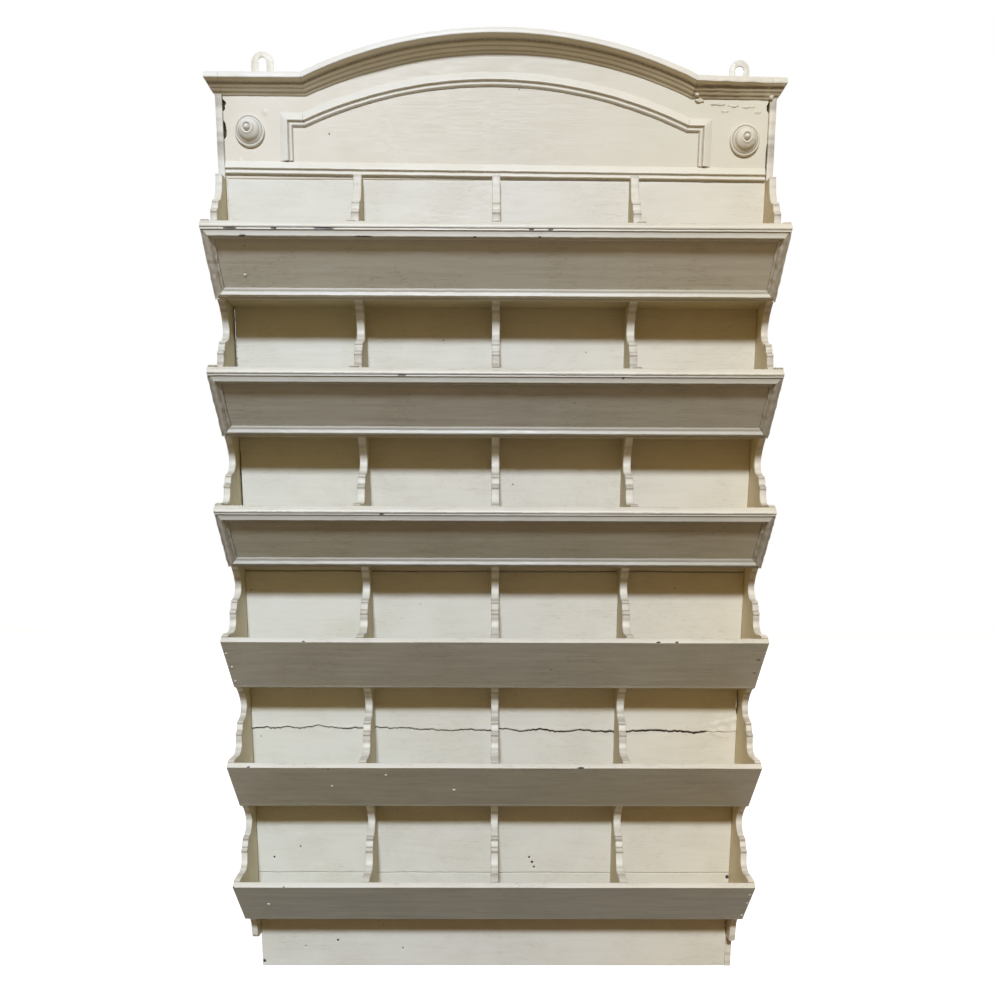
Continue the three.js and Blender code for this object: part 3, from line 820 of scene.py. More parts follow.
def along(line, x):
    """The value at x of a line through (x, value) places."""
    for (x0, value0), (x1, value1) in zip(line, line[1:]):
        if x <= x1:
            return value0 + (value1 - value0) * max(0.0, (x - x0) / (x1 - x0))
    return line[-1][1]


def seam_shift(seam, x):
    """How far the joint wanders from its straight line."""
    if seam == CRACKED_SEAM:
        return along(CRACK, x) + 1.5 * jag(x, 11, 3.1) + 1.7 * jag(x, 4.2, 8.2)
    if seam in (0, 6):
        return 0.35 * jag(x, 60, 5.5)
    return 1.1 * jag(x, 70, seam * 3.7) + 0.4 * jag(x, 11, seam)


def seam_opening(seam, x):
    """Half the width of the gap in the paint at a joint."""
    if seam == CRACKED_SEAM:
        if x > 370:
            return 0.05
        broad = 0.24 + 0.66 * min(1.0, max(0.0, (x - 20) / 180))
        return max(0.04, broad * (1 + 0.8 * jag(x, 45, 1.3) + 0.9 * jag(x, 6, 6.3)))
    return {PLAIN_SEAM: 0.3, FILLED_SEAM: 0.25}.get(seam, 0.15)


print("crack wanders between", min(h for _, h in CRACK), "and", max(h for _, h in CRACK), "mm")

# %% Wear of the back boards
# Old pin holes and knocks: (x, height, half width, depth, how bare).
PITS = [(62, 205, 2.0, 0.7, 0.8), (67, 196, 2.4, 0.6, 0.85), (70.8, 187, 2.2, 0.5, 0.8),
        (-390, 205, 1.7, 1.0, 0.95), (-344, 225, 3.0, 0.7, 0.5), (416, 168.5, 3.2, 1.2, 0.9),
        (-282, 49, 2.0, 1.2, 1.0), (-165, 33.6, 1.8, 0.9, 0.8), (-340, 37.4, 1.8, 0.8, 0.6),
        (-416, 8.5, 3.0, 1.4, 0.95), (420, 82, 2.2, 1.6, 1.0)]
# Gaps between the boards' ends and the sides: side, from height, to height, width.
BACK_END_GAPS = [(-1, 1000, 1118, 3.4), (-1, 806, 900, 1.4), (1, 462, 505, 2.2), (1, 60, 96, 1.6)]
# How far below a front board the back lies in shadow. The painted shade there, and the darker painted shade
# in the two lowest rows.
SHADE, SHADE_DARKENING, LOW_SHADE_DARKENING = 60, 0.1, 0.4


def painted_shade_under_rows(height):
    """Painted shade on the back: how much darker and how yellow it is, most behind a row's overhang, where
    its shadow falls.
    """
    for top in ROW_TOPS:
        below = top - BOARD["height"] - height
        if -12 < below < SHADE:
            dirt = LOW_SHADE_DARKENING if top in ROW_TOPS[-2:] else SHADE_DARKENING
            yellow = 0.7 * min(1.0, (52 - below) / 10) if -10 < below < 52 else 0.0
            return dirt * (1 - max(0.0, below) / SHADE) + 0.04, yellow
    return 0.0, 0.0


def filler_lump(x, height):
    """Filler pressed into the end of the crack, left lumpy."""
    inside = min(x - FILLER["left"], FILLER["right"] - x, height - FILLER["low"], FILLER["high"] - height)
    if inside <= 0:
        return 0.0
    lumps = 0.35 + noise.noise(Vector((x / 9, height / 4, 4.4)))
    lumps += 0.5 * noise.noise(Vector((x / 3, height / 3, 9.4)))
    return FILLER["rise"] * max(0.0, lumps) * min(1.0, inside / 12)


print("dirt and yellow just below a front board:", painted_shade_under_rows(ROW_TOPS[0] - BOARD["height"]))

# %% Back boards
# How much of a board gives way to its joints' wandering, and how far it is pushed out at the back, along its
# edges and its ends, so that no light comes through.
SEAM_PULLED, BACK_CLOSES, END_CLOSES = 14, 0.14, 0.25


def back_board(number):
    low_seam, high_seam = number, number + 1
    low, high = SEAMS[low_seam] + GAP / 2, SEAMS[high_seam] - GAP / 2
    edge = INNER - GAP
    thickness = FRIEZE["thickness"] if number == 5 else BACK
    pits = [p for p in PITS if low < p[1] < high]

    def wandered(x, height):
        pull_low = max(0.0, 1 - (height - low) / SEAM_PULLED)
        pull_high = max(0.0, 1 - (high - height) / SEAM_PULLED)
        return height + pull_low * seam_shift(low_seam, x) + pull_high * seam_shift(high_seam, x)

    def front(x, height):
        from_low, from_high = height - low, high - height
        shifted = wandered(x, height)
        for seam, distance, way in ((low_seam, from_low, 1), (high_seam, from_high, -1)):
            shifted += way * seam_opening(seam, x) * max(0.0, 1 - distance / 4)
        fall = max(rounded_edge(from_low), rounded_edge(from_high), rounded_edge(edge - abs(x), 0.8))
        depth, bare = pitted(x, height, pits)
        step_back, step_in, end_bare = end_gap(x, height, edge, BACK_END_GAPS)
        out = thickness - fall - depth - step_in + filler_lump(x, height)
        out += 0.35 * noise.noise(Vector((x / 90, height / 45, number * 5.3)))
        out += 0.16 * noise.noise(Vector((x / 22, height / 8, number * 2.1)))
        # Painted shade under the overhangs, and a little grime all over.
        grime = painted_shade_under_rows(height)[0] + 0.03
        bare = max(bare, end_bare)
        for seam, distance in ((low_seam, from_low), (high_seam, from_high)):
            if seam == CRACKED_SEAM:
                lip = math.exp(-((distance - 2.4) / 2.2) ** 2)
                out += 0.75 * lip * max(0.0, 0.35 + jag(x, 14, 9.4 + distance * 0.02))
                if distance < 1.2 and x < FILLER["left"]:
                    bare = max(bare, 0.9 if distance < 0.3 else 0.3)
                    grime = max(grime, 0.45)
            elif seam == PLAIN_SEAM and distance < 0.5:
                grime = max(grime, 0.75)
            elif seam == FILLED_SEAM:
                out += 0.5 * max(0.0, 1 - distance / 5) * max(0.0, 0.3 + jag(x, 16, 5.1))
        return x + step_back, out, shifted, grime, bare

    def back(x, height):
        at_edge = (height == upward[-1]) - (height == upward[0])
        at_end = (x == across[-1]) - (x == across[0])
        return x + END_CLOSES * at_end, 0.0, wandered(x, height) + BACK_CLOSES * at_edge, 0.1, 0.0

    step = 2.6 if CRACKED_SEAM in (low_seam, high_seam) else 3.6
    across = graded(-edge, edge, step, pit_places(pits, 0))
    upward = graded(low, high, step, pit_places(pits, 1))
    points, faces, marks = worked_board(across, upward, front, back)
    # The yellow tint on the back's face is painted shade under the overhangs.
    marks["yellowed"] = [painted_shade_under_rows(point[2])[1] if point[1] > BACK / 2 else 0.0 for point in points]
    make_piece(f"back_board_{number + 1}", points, faces, back_paint, marks)
    return len(points)


print("points on the back boards:", [back_board(number) for number in range(6)])

# %% [markdown]
# ## Shelves
#
# The floors of the bins show only from below and from above. Each is a plain board, bevelled to the lean of
# the front board, with edges softened like the rest.

# %% Shelves
for row, top in enumerate(ROW_TOPS):
    under = -BOARD["height"]
    over = under + SHELF
    shelf_line = spaced([(BACK + GAP, top + under), (board_back_out(under), top + under),
                         (board_back_out(over), top + over), (BACK + GAP, top + over)], 3.0)
    shelf_points, shelf_faces, _ = sawn_board(shelf_line, -INNER + GAP, INNER - GAP, 0.6, 31.0 + row, 0.1)
    # Painted shade: the shelves are darker and tinted yellow all over.
    marks = {"grime": [0.25] * len(shelf_points), "yellowed": [1.0] * len(shelf_points)}
    make_piece(f"shelf_row{row + 1}", shelf_points, shelf_faces, back_paint, marks)
print("shelves: 6")

# %% [markdown]
# ## Front boards
#
# The six front boards are alike, 201 mm apart: a rule, so Geometry Nodes make them. The tree starts from a
# box divided along its length and its slope, lengthens the back of its lower edge until that edge is level,
# raises the grain as long ridges, lays a thin bead of run paint along the lower edge, and leans and lifts
# the board to its row. A bevel softens the arrises. Wear is added to the result: chips on the arris. The
# faces are also made darker, more on the lower rows, and get painted shade: a yellow tint, and a strip of
# painted shadow under each frame.


# %% Geometry Nodes tree for a front board
def group_tree(name, inputs):
    tree = bpy.data.node_groups.new(name, "GeometryNodeTree")
    tree.interface.new_socket(name="Geometry", in_out="INPUT", socket_type="NodeSocketGeometry")
    for label, kind in inputs:
        tree.interface.new_socket(name=label, in_out="INPUT", socket_type=f"NodeSocket{kind}")
    tree.interface.new_socket(name="Geometry", in_out="OUTPUT", socket_type="NodeSocketGeometry")
    return tree, dict(tree.nodes.new("NodeGroupInput").outputs)


def end_tree(tree, geometry, material):
    real = add(tree, "GeometryNodeRealizeInstances", {"Geometry": geometry})
    dressed = add(tree, "GeometryNodeSetMaterial", {"Geometry": real, "Material": material})
    add(tree, "NodeGroupOutput", {0: dressed})


RUN_ABOVE, RUN_HALF_WIDTH = 2.0, 1.7


def front_board_tree():
    tree, made = group_tree("front board", [
        ("Length", "Float"), ("Thickness", "Float"), ("Slope Length", "Float"), ("Lean", "Float"),
        ("Top Out", "Float"), ("Row Height", "Float"), ("Ridge Depth", "Float"), ("Run Paint", "Float"),
        ("Seed", "Float"), ("Paint", "Material")])

    follow(tree, made, [("size", "vector", "Length", "Thickness", "Slope Length")])
    box = add(tree, "GeometryNodeMeshCube", {
        "Size": made["size"], "Vertices X": 288, "Vertices Y": 3, "Vertices Z": 72}, "Mesh")
    made |= dict(add(tree, "ShaderNodeSeparateXYZ", {0: add(tree, "GeometryNodeInputPosition")}).node.outputs)
    follow(tree, made, [
        # How far a point is behind the face and below the top, with the level cut of the lower edge.
        ("half thickness", "multiply", "Thickness", 0.5),
        ("behind", "add", "Y", "half thickness"),
        ("half slope", "multiply", "Slope Length", 0.5),
        ("below", "subtract", "half slope", "Z"),
        ("share", "divide", "below", "Slope Length"),
        ("lean", "tangent", "Lean"),
        ("bevelled", "multiply", "behind", "lean"),
        ("level", "multiply", "bevelled", "share"),
        ("down", "add", "below", "level"),
        ("fall", "multiply", "down", -1.0),
        # The grain's ridges are about 110 mm long and 8 mm wide.
        ("grain x", "multiply", "X", 9.0),
        ("grain y", "multiply", "Y", 60.0),
        ("grain z", "multiply", "Z", 130.0),
        ("grain place", "vector", "grain x", "grain y", "grain z"),
        ("bow seed", "add", "Seed", 40.0),
    ])
    noise_kind = {"noise_dimensions": "4D"}
    made["grain"] = add(tree, "ShaderNodeTexNoise", {
        "Vector": made["grain place"], "W": made["Seed"], "Scale": 1.0, "Detail": 2.0}, "Fac", **noise_kind)
    made["bow"] = add(tree, "ShaderNodeTexNoise", {
        "W": made["bow seed"], "Scale": 7.0, "Detail": 1.0}, "Fac", **noise_kind)
    follow(tree, made, [
        ("grain either way", "subtract", "grain", 0.5),
        ("ridge", "multiply", "grain either way", "Ridge Depth"),
        ("bow either way", "subtract", "bow", 0.5),
        ("bow depth", "multiply", "Ridge Depth", 1.6),
        ("swell", "multiply", "bow either way", "bow depth"),
        # The run paint stands as a ridge close above the lower edge, and dies out on each side.
        ("ridge below", "subtract", "Slope Length", RUN_ABOVE * MM),
        ("off ridge", "subtract", "ridge below", "below"),
        ("from ridge", "absolute", "off ridge"),
        ("away", "divide", "from ridge", RUN_HALF_WIDTH * MM),
        ("near", "subtract", 1.0, "away"),
        ("near edge", "maximum", "near", 0.0),
        ("on face", "less_than", "behind", 1.0 * MM),
        ("edge of face", "multiply", "near edge", "on face"),
        ("run", "multiply", "edge of face", "Run Paint"),
        ("ridged", "add", "behind", "ridge"),
        ("swollen", "add", "ridged", "swell"),
        ("depth", "subtract", "swollen", "run"),
        ("height", "add", "fall", "swell"),
        ("moved", "vector", "X", "depth", "height"),
        ("turn", "vector", "Lean"),
        ("towards viewer", "multiply", "Top Out", -1.0),
        ("lift", "vector", 0.0, "towards viewer", "Row Height"),
    ])
    shaped = add(tree, "GeometryNodeSetPosition", {"Geometry": box, "Position": made["moved"]})
    stood = add(tree, "GeometryNodeTransform", {
        "Geometry": shaped, "Translation": made["lift"], "Rotation": made["turn"]})
    end_tree(tree, stood, made["Paint"])
    return tree


def grown(name, tree, values, source=None):
    """An object with the tree as its modifier and the tree's named inputs set."""
    piece = placed(name, source or bpy.data.meshes.new(name))
    modifier = piece.modifiers.new("nodes", "NODES")
    modifier.node_group = tree
    for item in tree.interface.items_tree:
        if item.in_out == "INPUT" and item.name in values:
            modifier[item.identifier] = values[item.name]
    return piece


def set_plain(piece):
    """The evaluated result as the object's own plain mesh, with no modifiers left."""
    result = bpy.data.meshes.new_from_object(piece.evaluated_get(bpy.context.evaluated_depsgraph_get()))
    piece.modifiers.clear()
    piece.data = result
    result.shade_smooth()
    result.set_sharp_from_angle(angle=CREASE)
    return piece


front_tree = front_board_tree()
print("front board tree:", len(front_tree.nodes), "nodes")

# %% Wear of the front boards
# Chips: row, x, distance below the top arris (negative behind it), half length, half width, depth.
CHIPS = [(5, 138, 0.2, 5.5, 1.5, 0.8), (6, -430, -2.0, 4, 3, 1.6), (6, -346, -1.0, 3.5, 1.6, 0.8),
         (4, 256, 0.1, 4.0, 1.0, 0.6), (4, 285, 0.1, 3.0, 1.0, 0.6), (4, -300, 0.1, 2.5, 0.8, 0.5),
         (5, -395, 0.1, 2.5, 0.8, 0.5), (5, -267, 4, 2.0, 1.2, 0.4), (4, 92, 61, 2.2, 1.2, 0.4),
         (1, -371, 31, 1.6, 1.2, 0.5), (1, -300, 44, 1.6, 1.2, 0.4), (2, 120, 52, 1.8, 1.2, 0.4),
         (4, 421, 38, 3.5, 1.6, 0.7), (4, 421, 68, 3.5, 1.4, 0.7)]
# Chips on the frames of the upper rows, in the same way.
FRAME_CHIPS = [(1, -386, 5, 10, 1.5, 0.6), (1, -322, 5, 4.5, 1.5, 0.6), (1, -250, 5, 16, 1.6, 0.7),
               (1, 51, 5, 4, 1.5, 0.5), (1, 79, 5, 4, 1.5, 0.5), (1, -369, 14, 6, 2.2, 0.6),
               (1, -193, 14, 15, 1.3, 0.5), (1, 63, 14, 2.5, 1.8, 0.4), (1, -31, 14, 2.5, 1.8, 0.4),
               (3, -31.5, 15, 2.6, 1.8, 0.4), (3, -174, 5, 3.2, 1.6, 0.4), (2, 190, 7, 2.8, 1.6, 0.4),
               (2, -140, 5, 7, 1.2, 0.4)]
# How far behind an arris a chip still shows, on a board and on a frame.
BOARD_CHIPS_REACH, FRAME_CHIPS_REACH = 2.6, 22
CHIP_REACH = 1.4
# How much darker the faces are, and how yellow painted shade makes them, from the top row down.
ROW_DARKENING = [0.16, 0.36, 0.43, 0.4, 0.45, 0.58]
FACE_SHADE_YELLOW = [0.25, 0.25, 0.55, 0.3, 0.5, 0.55]
FRAME_WIDTH, FRAMED_ROWS = 17, 3


def down_the_face(row, point):
    """A point's distance below the top arris along the slope, and its rise off the face."""
    _, out, height = point
    inward, down = BOARD["top_out"] - out, ROW_TOPS[row] - height
    return inward * math.sin(LEAN) + down * math.cos(LEAN), -inward * math.cos(LEAN) + down * math.sin(LEAN)


def worn(row, points, chips, reach_back):
    """The points sunk at the chips, and the marks of bare wood, of darker faces, and of painted shade: a
    yellow tint on the faces and a shadow under the frame.
    """
    bare, soiled, yellowed, grime, moved = [], [], [], [], []
    here = [chip for chip in chips if chip[0] == row + 1]
    inward = Vector((0, -math.cos(LEAN / 2), -math.sin(LEAN / 2)))
    for point in points:
        below, rise = down_the_face(row, point)
        most, sink = 0.0, 0.0
        for _, x, chip_below, half, wide, depth in here:
            reach = math.hypot((point[0] - x) / half, (below - chip_below) / wide, rise / reach_back)
            if reach < CHIP_REACH:
                sink = max(sink, depth * (1 - reach / CHIP_REACH))
                most = max(most, min(1.0, 1.5 - reach))
        moved.append(Vector(point) + inward * sink)
        bare.append(most)
        on_face = below > 1.2 and rise > -1
        soiled.append(ROW_DARKENING[row] if on_face else 0.0)
        yellowed.append(FACE_SHADE_YELLOW[row] if on_face else 0.0)
        # A strip of painted shadow on the face under the frame's upper run.
        under_frame = 1 - (below - FRAME_WIDTH) / 14
        is_under_frame = on_face and row < FRAMED_ROWS and under_frame < 1.2
        grime.append(0.45 * max(0.0, under_frame) if is_under_frame else 0.0)
    return moved, {"bare": bare, "soiled": soiled, "yellowed": yellowed, "grime": grime}


def in_millimetres(place):
    return Vector((place.x / MM, -place.y / MM, place.z / MM + HANGING_HEIGHT))


print("chips:", len(CHIPS), "on the boards,", len(FRAME_CHIPS), "on the frames")

# %% Front boards
for row, top in enumerate(ROW_TOPS):
    node = f"front_board_row{row + 1}"
    board = grown(f"{node}_painted", front_tree, {
        "Length": WIDTH * MM, "Thickness": BOARD["thickness"] * MM, "Slope Length": SLANT * MM, "Lean": LEAN,
        "Top Out": BOARD["top_out"] * MM, "Row Height": (top - HANGING_HEIGHT) * MM, "Ridge Depth": 0.55 * MM,
        "Run Paint": 0.8 * MM, "Seed": 3.0 * row, "Paint": front_paint})
    bevel = board.modifiers.new("soft arris", "BEVEL")
    bevel.width, bevel.segments = 1.3 * MM, 3
    bevel.limit_method, bevel.angle_limit = "ANGLE", math.radians(50)
    set_plain(board)
    plain_points = [in_millimetres(v.co) for v in board.data.vertices]
    worn_points, board_marks = worn(row, plain_points, CHIPS, BOARD_CHIPS_REACH)
    for vertex, point in zip(board.data.vertices, worn_points):
        vertex.co = in_metres(*point)
    for label, values in board_marks.items():
        board.data.attributes.new(label, "FLOAT", "POINT").data.foreach_set("value", values)
    declare(board, "painted_wood", node)
print("front boards:", len(ROW_TOPS), "each", len(board.data.vertices), "points")

# %% [markdown]
# ## Mouldings
#
# A moulding is a section carried along a path through stations. At a mitre the station stands across the
# joint. Paint has rounded the section's corners, so each corner is cut back to a small curve before it is
# carried.


# %% Moulding helpers
def painted_section(section, radius):
    """An open section with its corners eased."""
    made = [section[0]]
    for before, here, after in zip(section, section[1:], section[2:]):
        first, second = Vector(before) - Vector(here), Vector(after) - Vector(here)
        ease = min(radius, first.length * 0.45, second.length * 0.45)
        start, end = Vector(here) + first.normalized() * ease, Vector(here) + second.normalized() * ease
        made += [tuple(start), tuple((start + end) / 4 + Vector(here) / 2), tuple(end)]
    return made + [section[-1]]


def carried(section, stations, amount, spread, seed, clog=None):
    """stations are functions (across, rise) -> (x, out, height). The ends are closed."""
    count = len(section)
    points = []
    for number, station in enumerate(stations):
        here = section if clog is None else clog(section, number / (len(stations) - 1))
        points += [uneven(station(across, rise), amount, spread, seed) for across, rise in here]
    ends = [list(range(count)), list(range(len(points) - count, len(points)))]
    return points, ends + ring_faces(count, len(stations))


def hollows(places, yellow=0.0):
    """Painted shade and grime in a carried section's hollows: places are (how far across, how wide, how
    strong). yellow tints every point.
    """
    def marks(section, points):
        dirt = [max(strength * max(0.0, 1 - abs(across - middle) / wide) for middle, wide, strength in places)
                for across, _ in section]
        return {"grime": dirt * (len(points) // len(section)), "yellowed": [yellow] * len(points)}
    return marks


def between(first, last, step):
    """Stations along a straight run from one end's station to the other's."""
    length = (Vector(first(0, 0)) - Vector(last(0, 0))).length
    count = max(2, round(length / step))

    def station(t):
        return lambda across, rise: tuple(
            a + (b - a) * t for a, b in zip(first(across, rise), last(across, rise)))
    return [station(i / count) for i in range(count + 1)]


print("a corner painted over takes", len(painted_section([(0, 0), (0, 5), (5, 5)], 0.5)) - 2, "points")

# %% [markdown]
# ## Picture-frame mouldings
#
# The three upper front boards are framed: four mitred lengths on each. The ends are short, and the paint
# lies thickest and lumpiest there.

# %% Front frames
FRAME_SECTION = [(0, 0), (0, 3.4), (1.5, 5.2), (2.4, 4.2), (3.4, 3.9), (7.6, 6.8), (9, 8), (9.8, 8.1),
                 (10.8, 7), (12, 5.2), (13.2, 3.6), (14.2, 3.2), (16, 2.6), (17, 1.6), (17, 0)]
# On the upper run a strip of the board's own rounded edge shows above the moulding.
TOP_RUN_SECTION = [(-4, 0), (-4, 1.4), (-3.2, 2.8), (-1.4, 4), (-0.6, 3.4), (0.2, 3.2), (1.5, 5.2),
                   *FRAME_SECTION[3:]]
FRAME_HALF, MITRE_GAP = HALF - 0.5, 0.12
# The frames were nailed on this much below the boards' upper edges.
FRAME_DROP = 4
# How uneven a frame's long and short lengths are, and over what length.
LONG_UNEVEN, SHORT_UNEVEN = (0.28, 16), (0.9, 9)


def on_slope(row, x, below, rise):
    """A place on a front board: x, distance below the top arris along the slope, rise off the face."""
    rise += GAP
    return (x, BOARD["top_out"] - below * math.sin(LEAN) + rise * math.cos(LEAN),
            ROW_TOPS[row] - below * math.cos(LEAN) - rise * math.sin(LEAN))


def frame_end(row, x, below, x_way, below_way, trim_x, trim_below):
    """The station across the mitre at a frame's corner, for a length that stops short of it by the trims."""
    return lambda across, rise: on_slope(
        row, x + trim_x + max(0, across) * x_way, below + FRAME_DROP + trim_below + across * below_way, rise)


frame_section, top_run_section = painted_section(FRAME_SECTION, 0.5), painted_section(TOP_RUN_SECTION, 0.5)
sections = [top_run_section, frame_section, frame_section, frame_section]
# Painted shade and grime in the frame's hollows, and a faint yellow tone.
FRAME_HOLLOWS = hollows([(2.9, 1.3, 0.45), (13.6, 1.8, 0.5), (17, 1.2, 0.4)], 0.15)
# The corners, clockwise from the upper left: x, below, and the ways in from there.
CORNERS = [(-FRAME_HALF, 0, 1, 1), (FRAME_HALF, 0, -1, 1),
           (FRAME_HALF, SLANT, -1, -1), (-FRAME_HALF, SLANT, 1, -1)]
for row in range(FRAMED_ROWS):
    made_runs = []
    for run, section in enumerate(sections):
        here, after = CORNERS[run], CORNERS[(run + 1) % 4]
        # Each length stops short of the mitre at both ends: long ones in x, short ones along the slope.
        is_short = run % 2
        trims = [(0, end[3] * MITRE_GAP) if is_short else (end[2] * MITRE_GAP, 0) for end in (here, after)]
        ends = [frame_end(row, *end, *trim) for end, trim in zip((here, after), trims)]
        amount, spread = SHORT_UNEVEN if is_short else LONG_UNEVEN
        made_runs.append(carried(section, between(*ends, 2.6), amount, spread, 5.0 * row))
    frame_points, frame_faces = together(made_runs)
    frame_points, frame_marks = worn(row, frame_points, FRAME_CHIPS, FRAME_CHIPS_REACH)
    dirt = [FRAME_HOLLOWS(section, points) for section, (points, _) in zip(sections, made_runs)]
    frame_marks |= {label: [value for run in dirt for value in run[label]] for label in dirt[0]}
    make_piece(f"front_frame_row{row + 1}", frame_points, frame_faces, moulding_paint, frame_marks,
               "painted_moulding")
print("front frames: 3, each", len(frame_points), "points")

# %% [markdown]
# ## Frieze board
#
# One wide board under the cornice, with an arched top that the cornice hides. It has shrunk away from the
# sides, so dark gaps show at its ends. Behind, it is hollowed for the two hanging plates.

# %% Frieze board
CORNICE = {"top": 1443.6, "height": 24, "half_arch": 300, "arch_rise": 62, "arch_x": 4,
           "out": 41, "side_out": 11}
PLATES = {"left": (-359.5, 35), "right": (375, 30.5)}
PLATE_BOTTOM, PLATE_DEEP = 1402, 2.3
# Dark gaps at the frieze's ends: side, from height, to height, width.
FRIEZE_END_GAPS = [(-1, 1397, 1414, 5.2), (-1, 1359, 1384, 4.4), (1, 1400, 1415, 4.2), (1, 1305, 1356, 1.0)]
# Specks and lumps in its paint, as the back boards' pits.
FRIEZE_PITS = [(-355, 1396.5, 3.2, -0.9, 0.0), (-396, 1328, 2.6, -0.9, 0.0), (-257.6, 1366.6, 1.8, 0.5, 0.7),
               (34.5, 1429.4, 1.8, 0.5, 0.8), (-116, 1360.4, 1.5, 0.4, 0.6), (169.5, 1357.8, 1.5, 0.4, 0.7)]


def arch_of(half, rise, end_height):
    """Radius, height of the centre and half angle of an arch."""
    radius = (half ** 2 + rise ** 2) / (2 * rise)
    return radius, end_height + rise - radius, math.asin(half / radius)


def frieze_top(x):
    radius, centre, _ = arch_of(CORNICE["half_arch"], FRIEZE["arch"], FRIEZE["shoulder"])
    from_middle = x - CORNICE["arch_x"]
    if abs(from_middle) >= CORNICE["half_arch"]:
        return FRIEZE["shoulder"]
    return centre + math.sqrt(radius ** 2 - from_middle ** 2)


def frieze_board():
    edge = INNER - GAP

    def height_at(x, share):
        return FRIEZE["bottom"] + share * (frieze_top(x) - FRIEZE["bottom"])

    def front(x, share):
        height = height_at(x, share)
        depth, bare = pitted(x, height, FRIEZE_PITS)
        step_back, step_in, end_bare = end_gap(x, height, edge, FRIEZE_END_GAPS)
        out = FRIEZE["thickness"]
        out -= rounded_edge(edge - abs(x), 1.0) + rounded_edge(height - FRIEZE["bottom"], 1.0)
        out += 0.35 * noise.noise(Vector((x / 120, height / 60, 2.2))) - depth - step_in
        return x + step_back, out, height, 0.02, max(bare, end_bare)

    def back(x, share):
        height = height_at(x, share)
        behind_plate = any(abs(x - middle) < wide / 2 + GAP for middle, wide in PLATES.values())
        hollow = behind_plate and height > PLATE_BOTTOM - GAP
        return x, PLATE_DEEP if hollow else 0.0, height, 0.1, 0.0

    # The hollow's walls stand between two places of the grid that are close together.
    sides = [middle + sign * (wide / 2 + GAP + nudge) for middle, wide in PLATES.values()
             for sign in (-1, 1) for nudge in (-0.05, 0.05)]
    tall = FRIEZE["shoulder"] - FRIEZE["bottom"]
    bottom_share = (PLATE_BOTTOM - GAP - FRIEZE["bottom"]) / tall
    arch_ends = [CORNICE["arch_x"] + sign * CORNICE["half_arch"] for sign in (-1, 1)]
    across = sorted(set(graded(-edge, edge, 3.2, (*arch_ends, *pit_places(FRIEZE_PITS, 0)))) | set(sides))
    upward = [s / tall for s in graded(0, tall, 2.4)]
    upward = sorted(set(upward) | {bottom_share - 0.0004, bottom_share + 0.0004})
    points, faces, marks = worked_board(across, upward, front, back)
    make_piece("frieze_board", points, faces, frieze_paint, marks)
    return len(points)


print("points on the frieze board:", frieze_board())

# %% [markdown]
# ## Mouldings on the frieze
#
# A panel moulding runs up, round the arch and down again, and a straight bead closes the frieze below. Both
# were fixed a little out of level, lower on the right.

# %% Sections of the mouldings on the frieze
PANEL = {"half": 332.5, "top": 1393.5, "half_arch": 298, "rise": 60, "leg": 1325.5, "tilt": 0.0072}
LOWER_BEAD = {"top": 1324.8, "length": 836}
BEAD_SECTION = painted_section(
    [(0, 0), (0, 0.8), (10.8, 5.4), (11.8, 5.4), (12.4, 3.8), (13.4, 2.4), (14.8, 1.8), (15.4, 2.4),
     (16.2, 3.4), (17.6, 3.4), (18.6, 2.2), (19.6, 0.9), (20.2, 0.6), (20.2, 0)], 0.6)
# Painted shade in the bead's hollows, and a faint yellow tone.
BEAD_HOLLOWS = hollows([(13.8, 1.8, 0.75), (20, 1.7, 0.7)], 0.1)
LOWER_BEAD_SECTION = painted_section(
    [(0, 0), (0, 0.8), (9.8, 5), (10.9, 5), (11.6, 3.4), (12.6, 2.2), (13.4, 2.2), (14.6, 3.4),
     (16.6, 4.4), (18, 4.2), (18.8, 2.8), (20, 1.2), (20.6, 0.8), (20.6, 0)], 0.6)
# Painted shade in the lower bead's hollows, and a faint yellow tone.
LOWER_HOLLOWS = hollows([(12.5, 1.6, 0.75), (20, 1.7, 0.8)], 0.1)
print("points in the sections:", len(BEAD_SECTION), "and", len(LOWER_BEAD_SECTION))


# %% Stations on the frieze
def on_frieze(x, height, rise):
    turn = PANEL["tilt"]
    above = height - PANEL["top"]
    return (x * math.cos(turn) + above * math.sin(turn), FRIEZE["thickness"] + GAP + rise,
            PANEL["top"] - x * math.sin(turn) + above * math.cos(turn))


def frieze_station(x, height, way_x, way_height):
    return lambda across, rise: on_frieze(x + across * way_x, height + across * way_height, rise)


def mitre(first, second):
    """The way across a joint of two runs, from the ways across each run."""
    total = Vector(first) + Vector(second)
    return total / (1 + Vector(first).dot(Vector(second)))


def arch_mitre(sign, angle):
    """The way across the joint of a level run and an arch that ends at this angle."""
    return mitre((0, -1), (-sign * math.sin(angle), -math.cos(angle)))


def arch_stations(place, half, rise, end_height, steps):
    """place makes a station from (x, height, way across). The end stations stand across the mitres."""
    radius, centre, half_angle = arch_of(half, rise, end_height)
    made = []
    for step in range(steps + 1):
        angle = half_angle * (2 * step / steps - 1)
        at_end = step in (0, steps)
        trim = -math.copysign(GAP / 2, angle) if at_end else 0.0
        way = (-math.sin(angle), -math.cos(angle))
        if at_end:
            way = arch_mitre(math.copysign(1, angle), abs(angle))
        made.append(place(radius * math.sin(angle) + trim * math.cos(angle),
                          centre + radius * math.cos(angle) - trim * math.sin(angle), *way))
    return made


print("the frieze's mouldings fall by", round(WIDTH * PANEL["tilt"], 1), "mm from left to right")

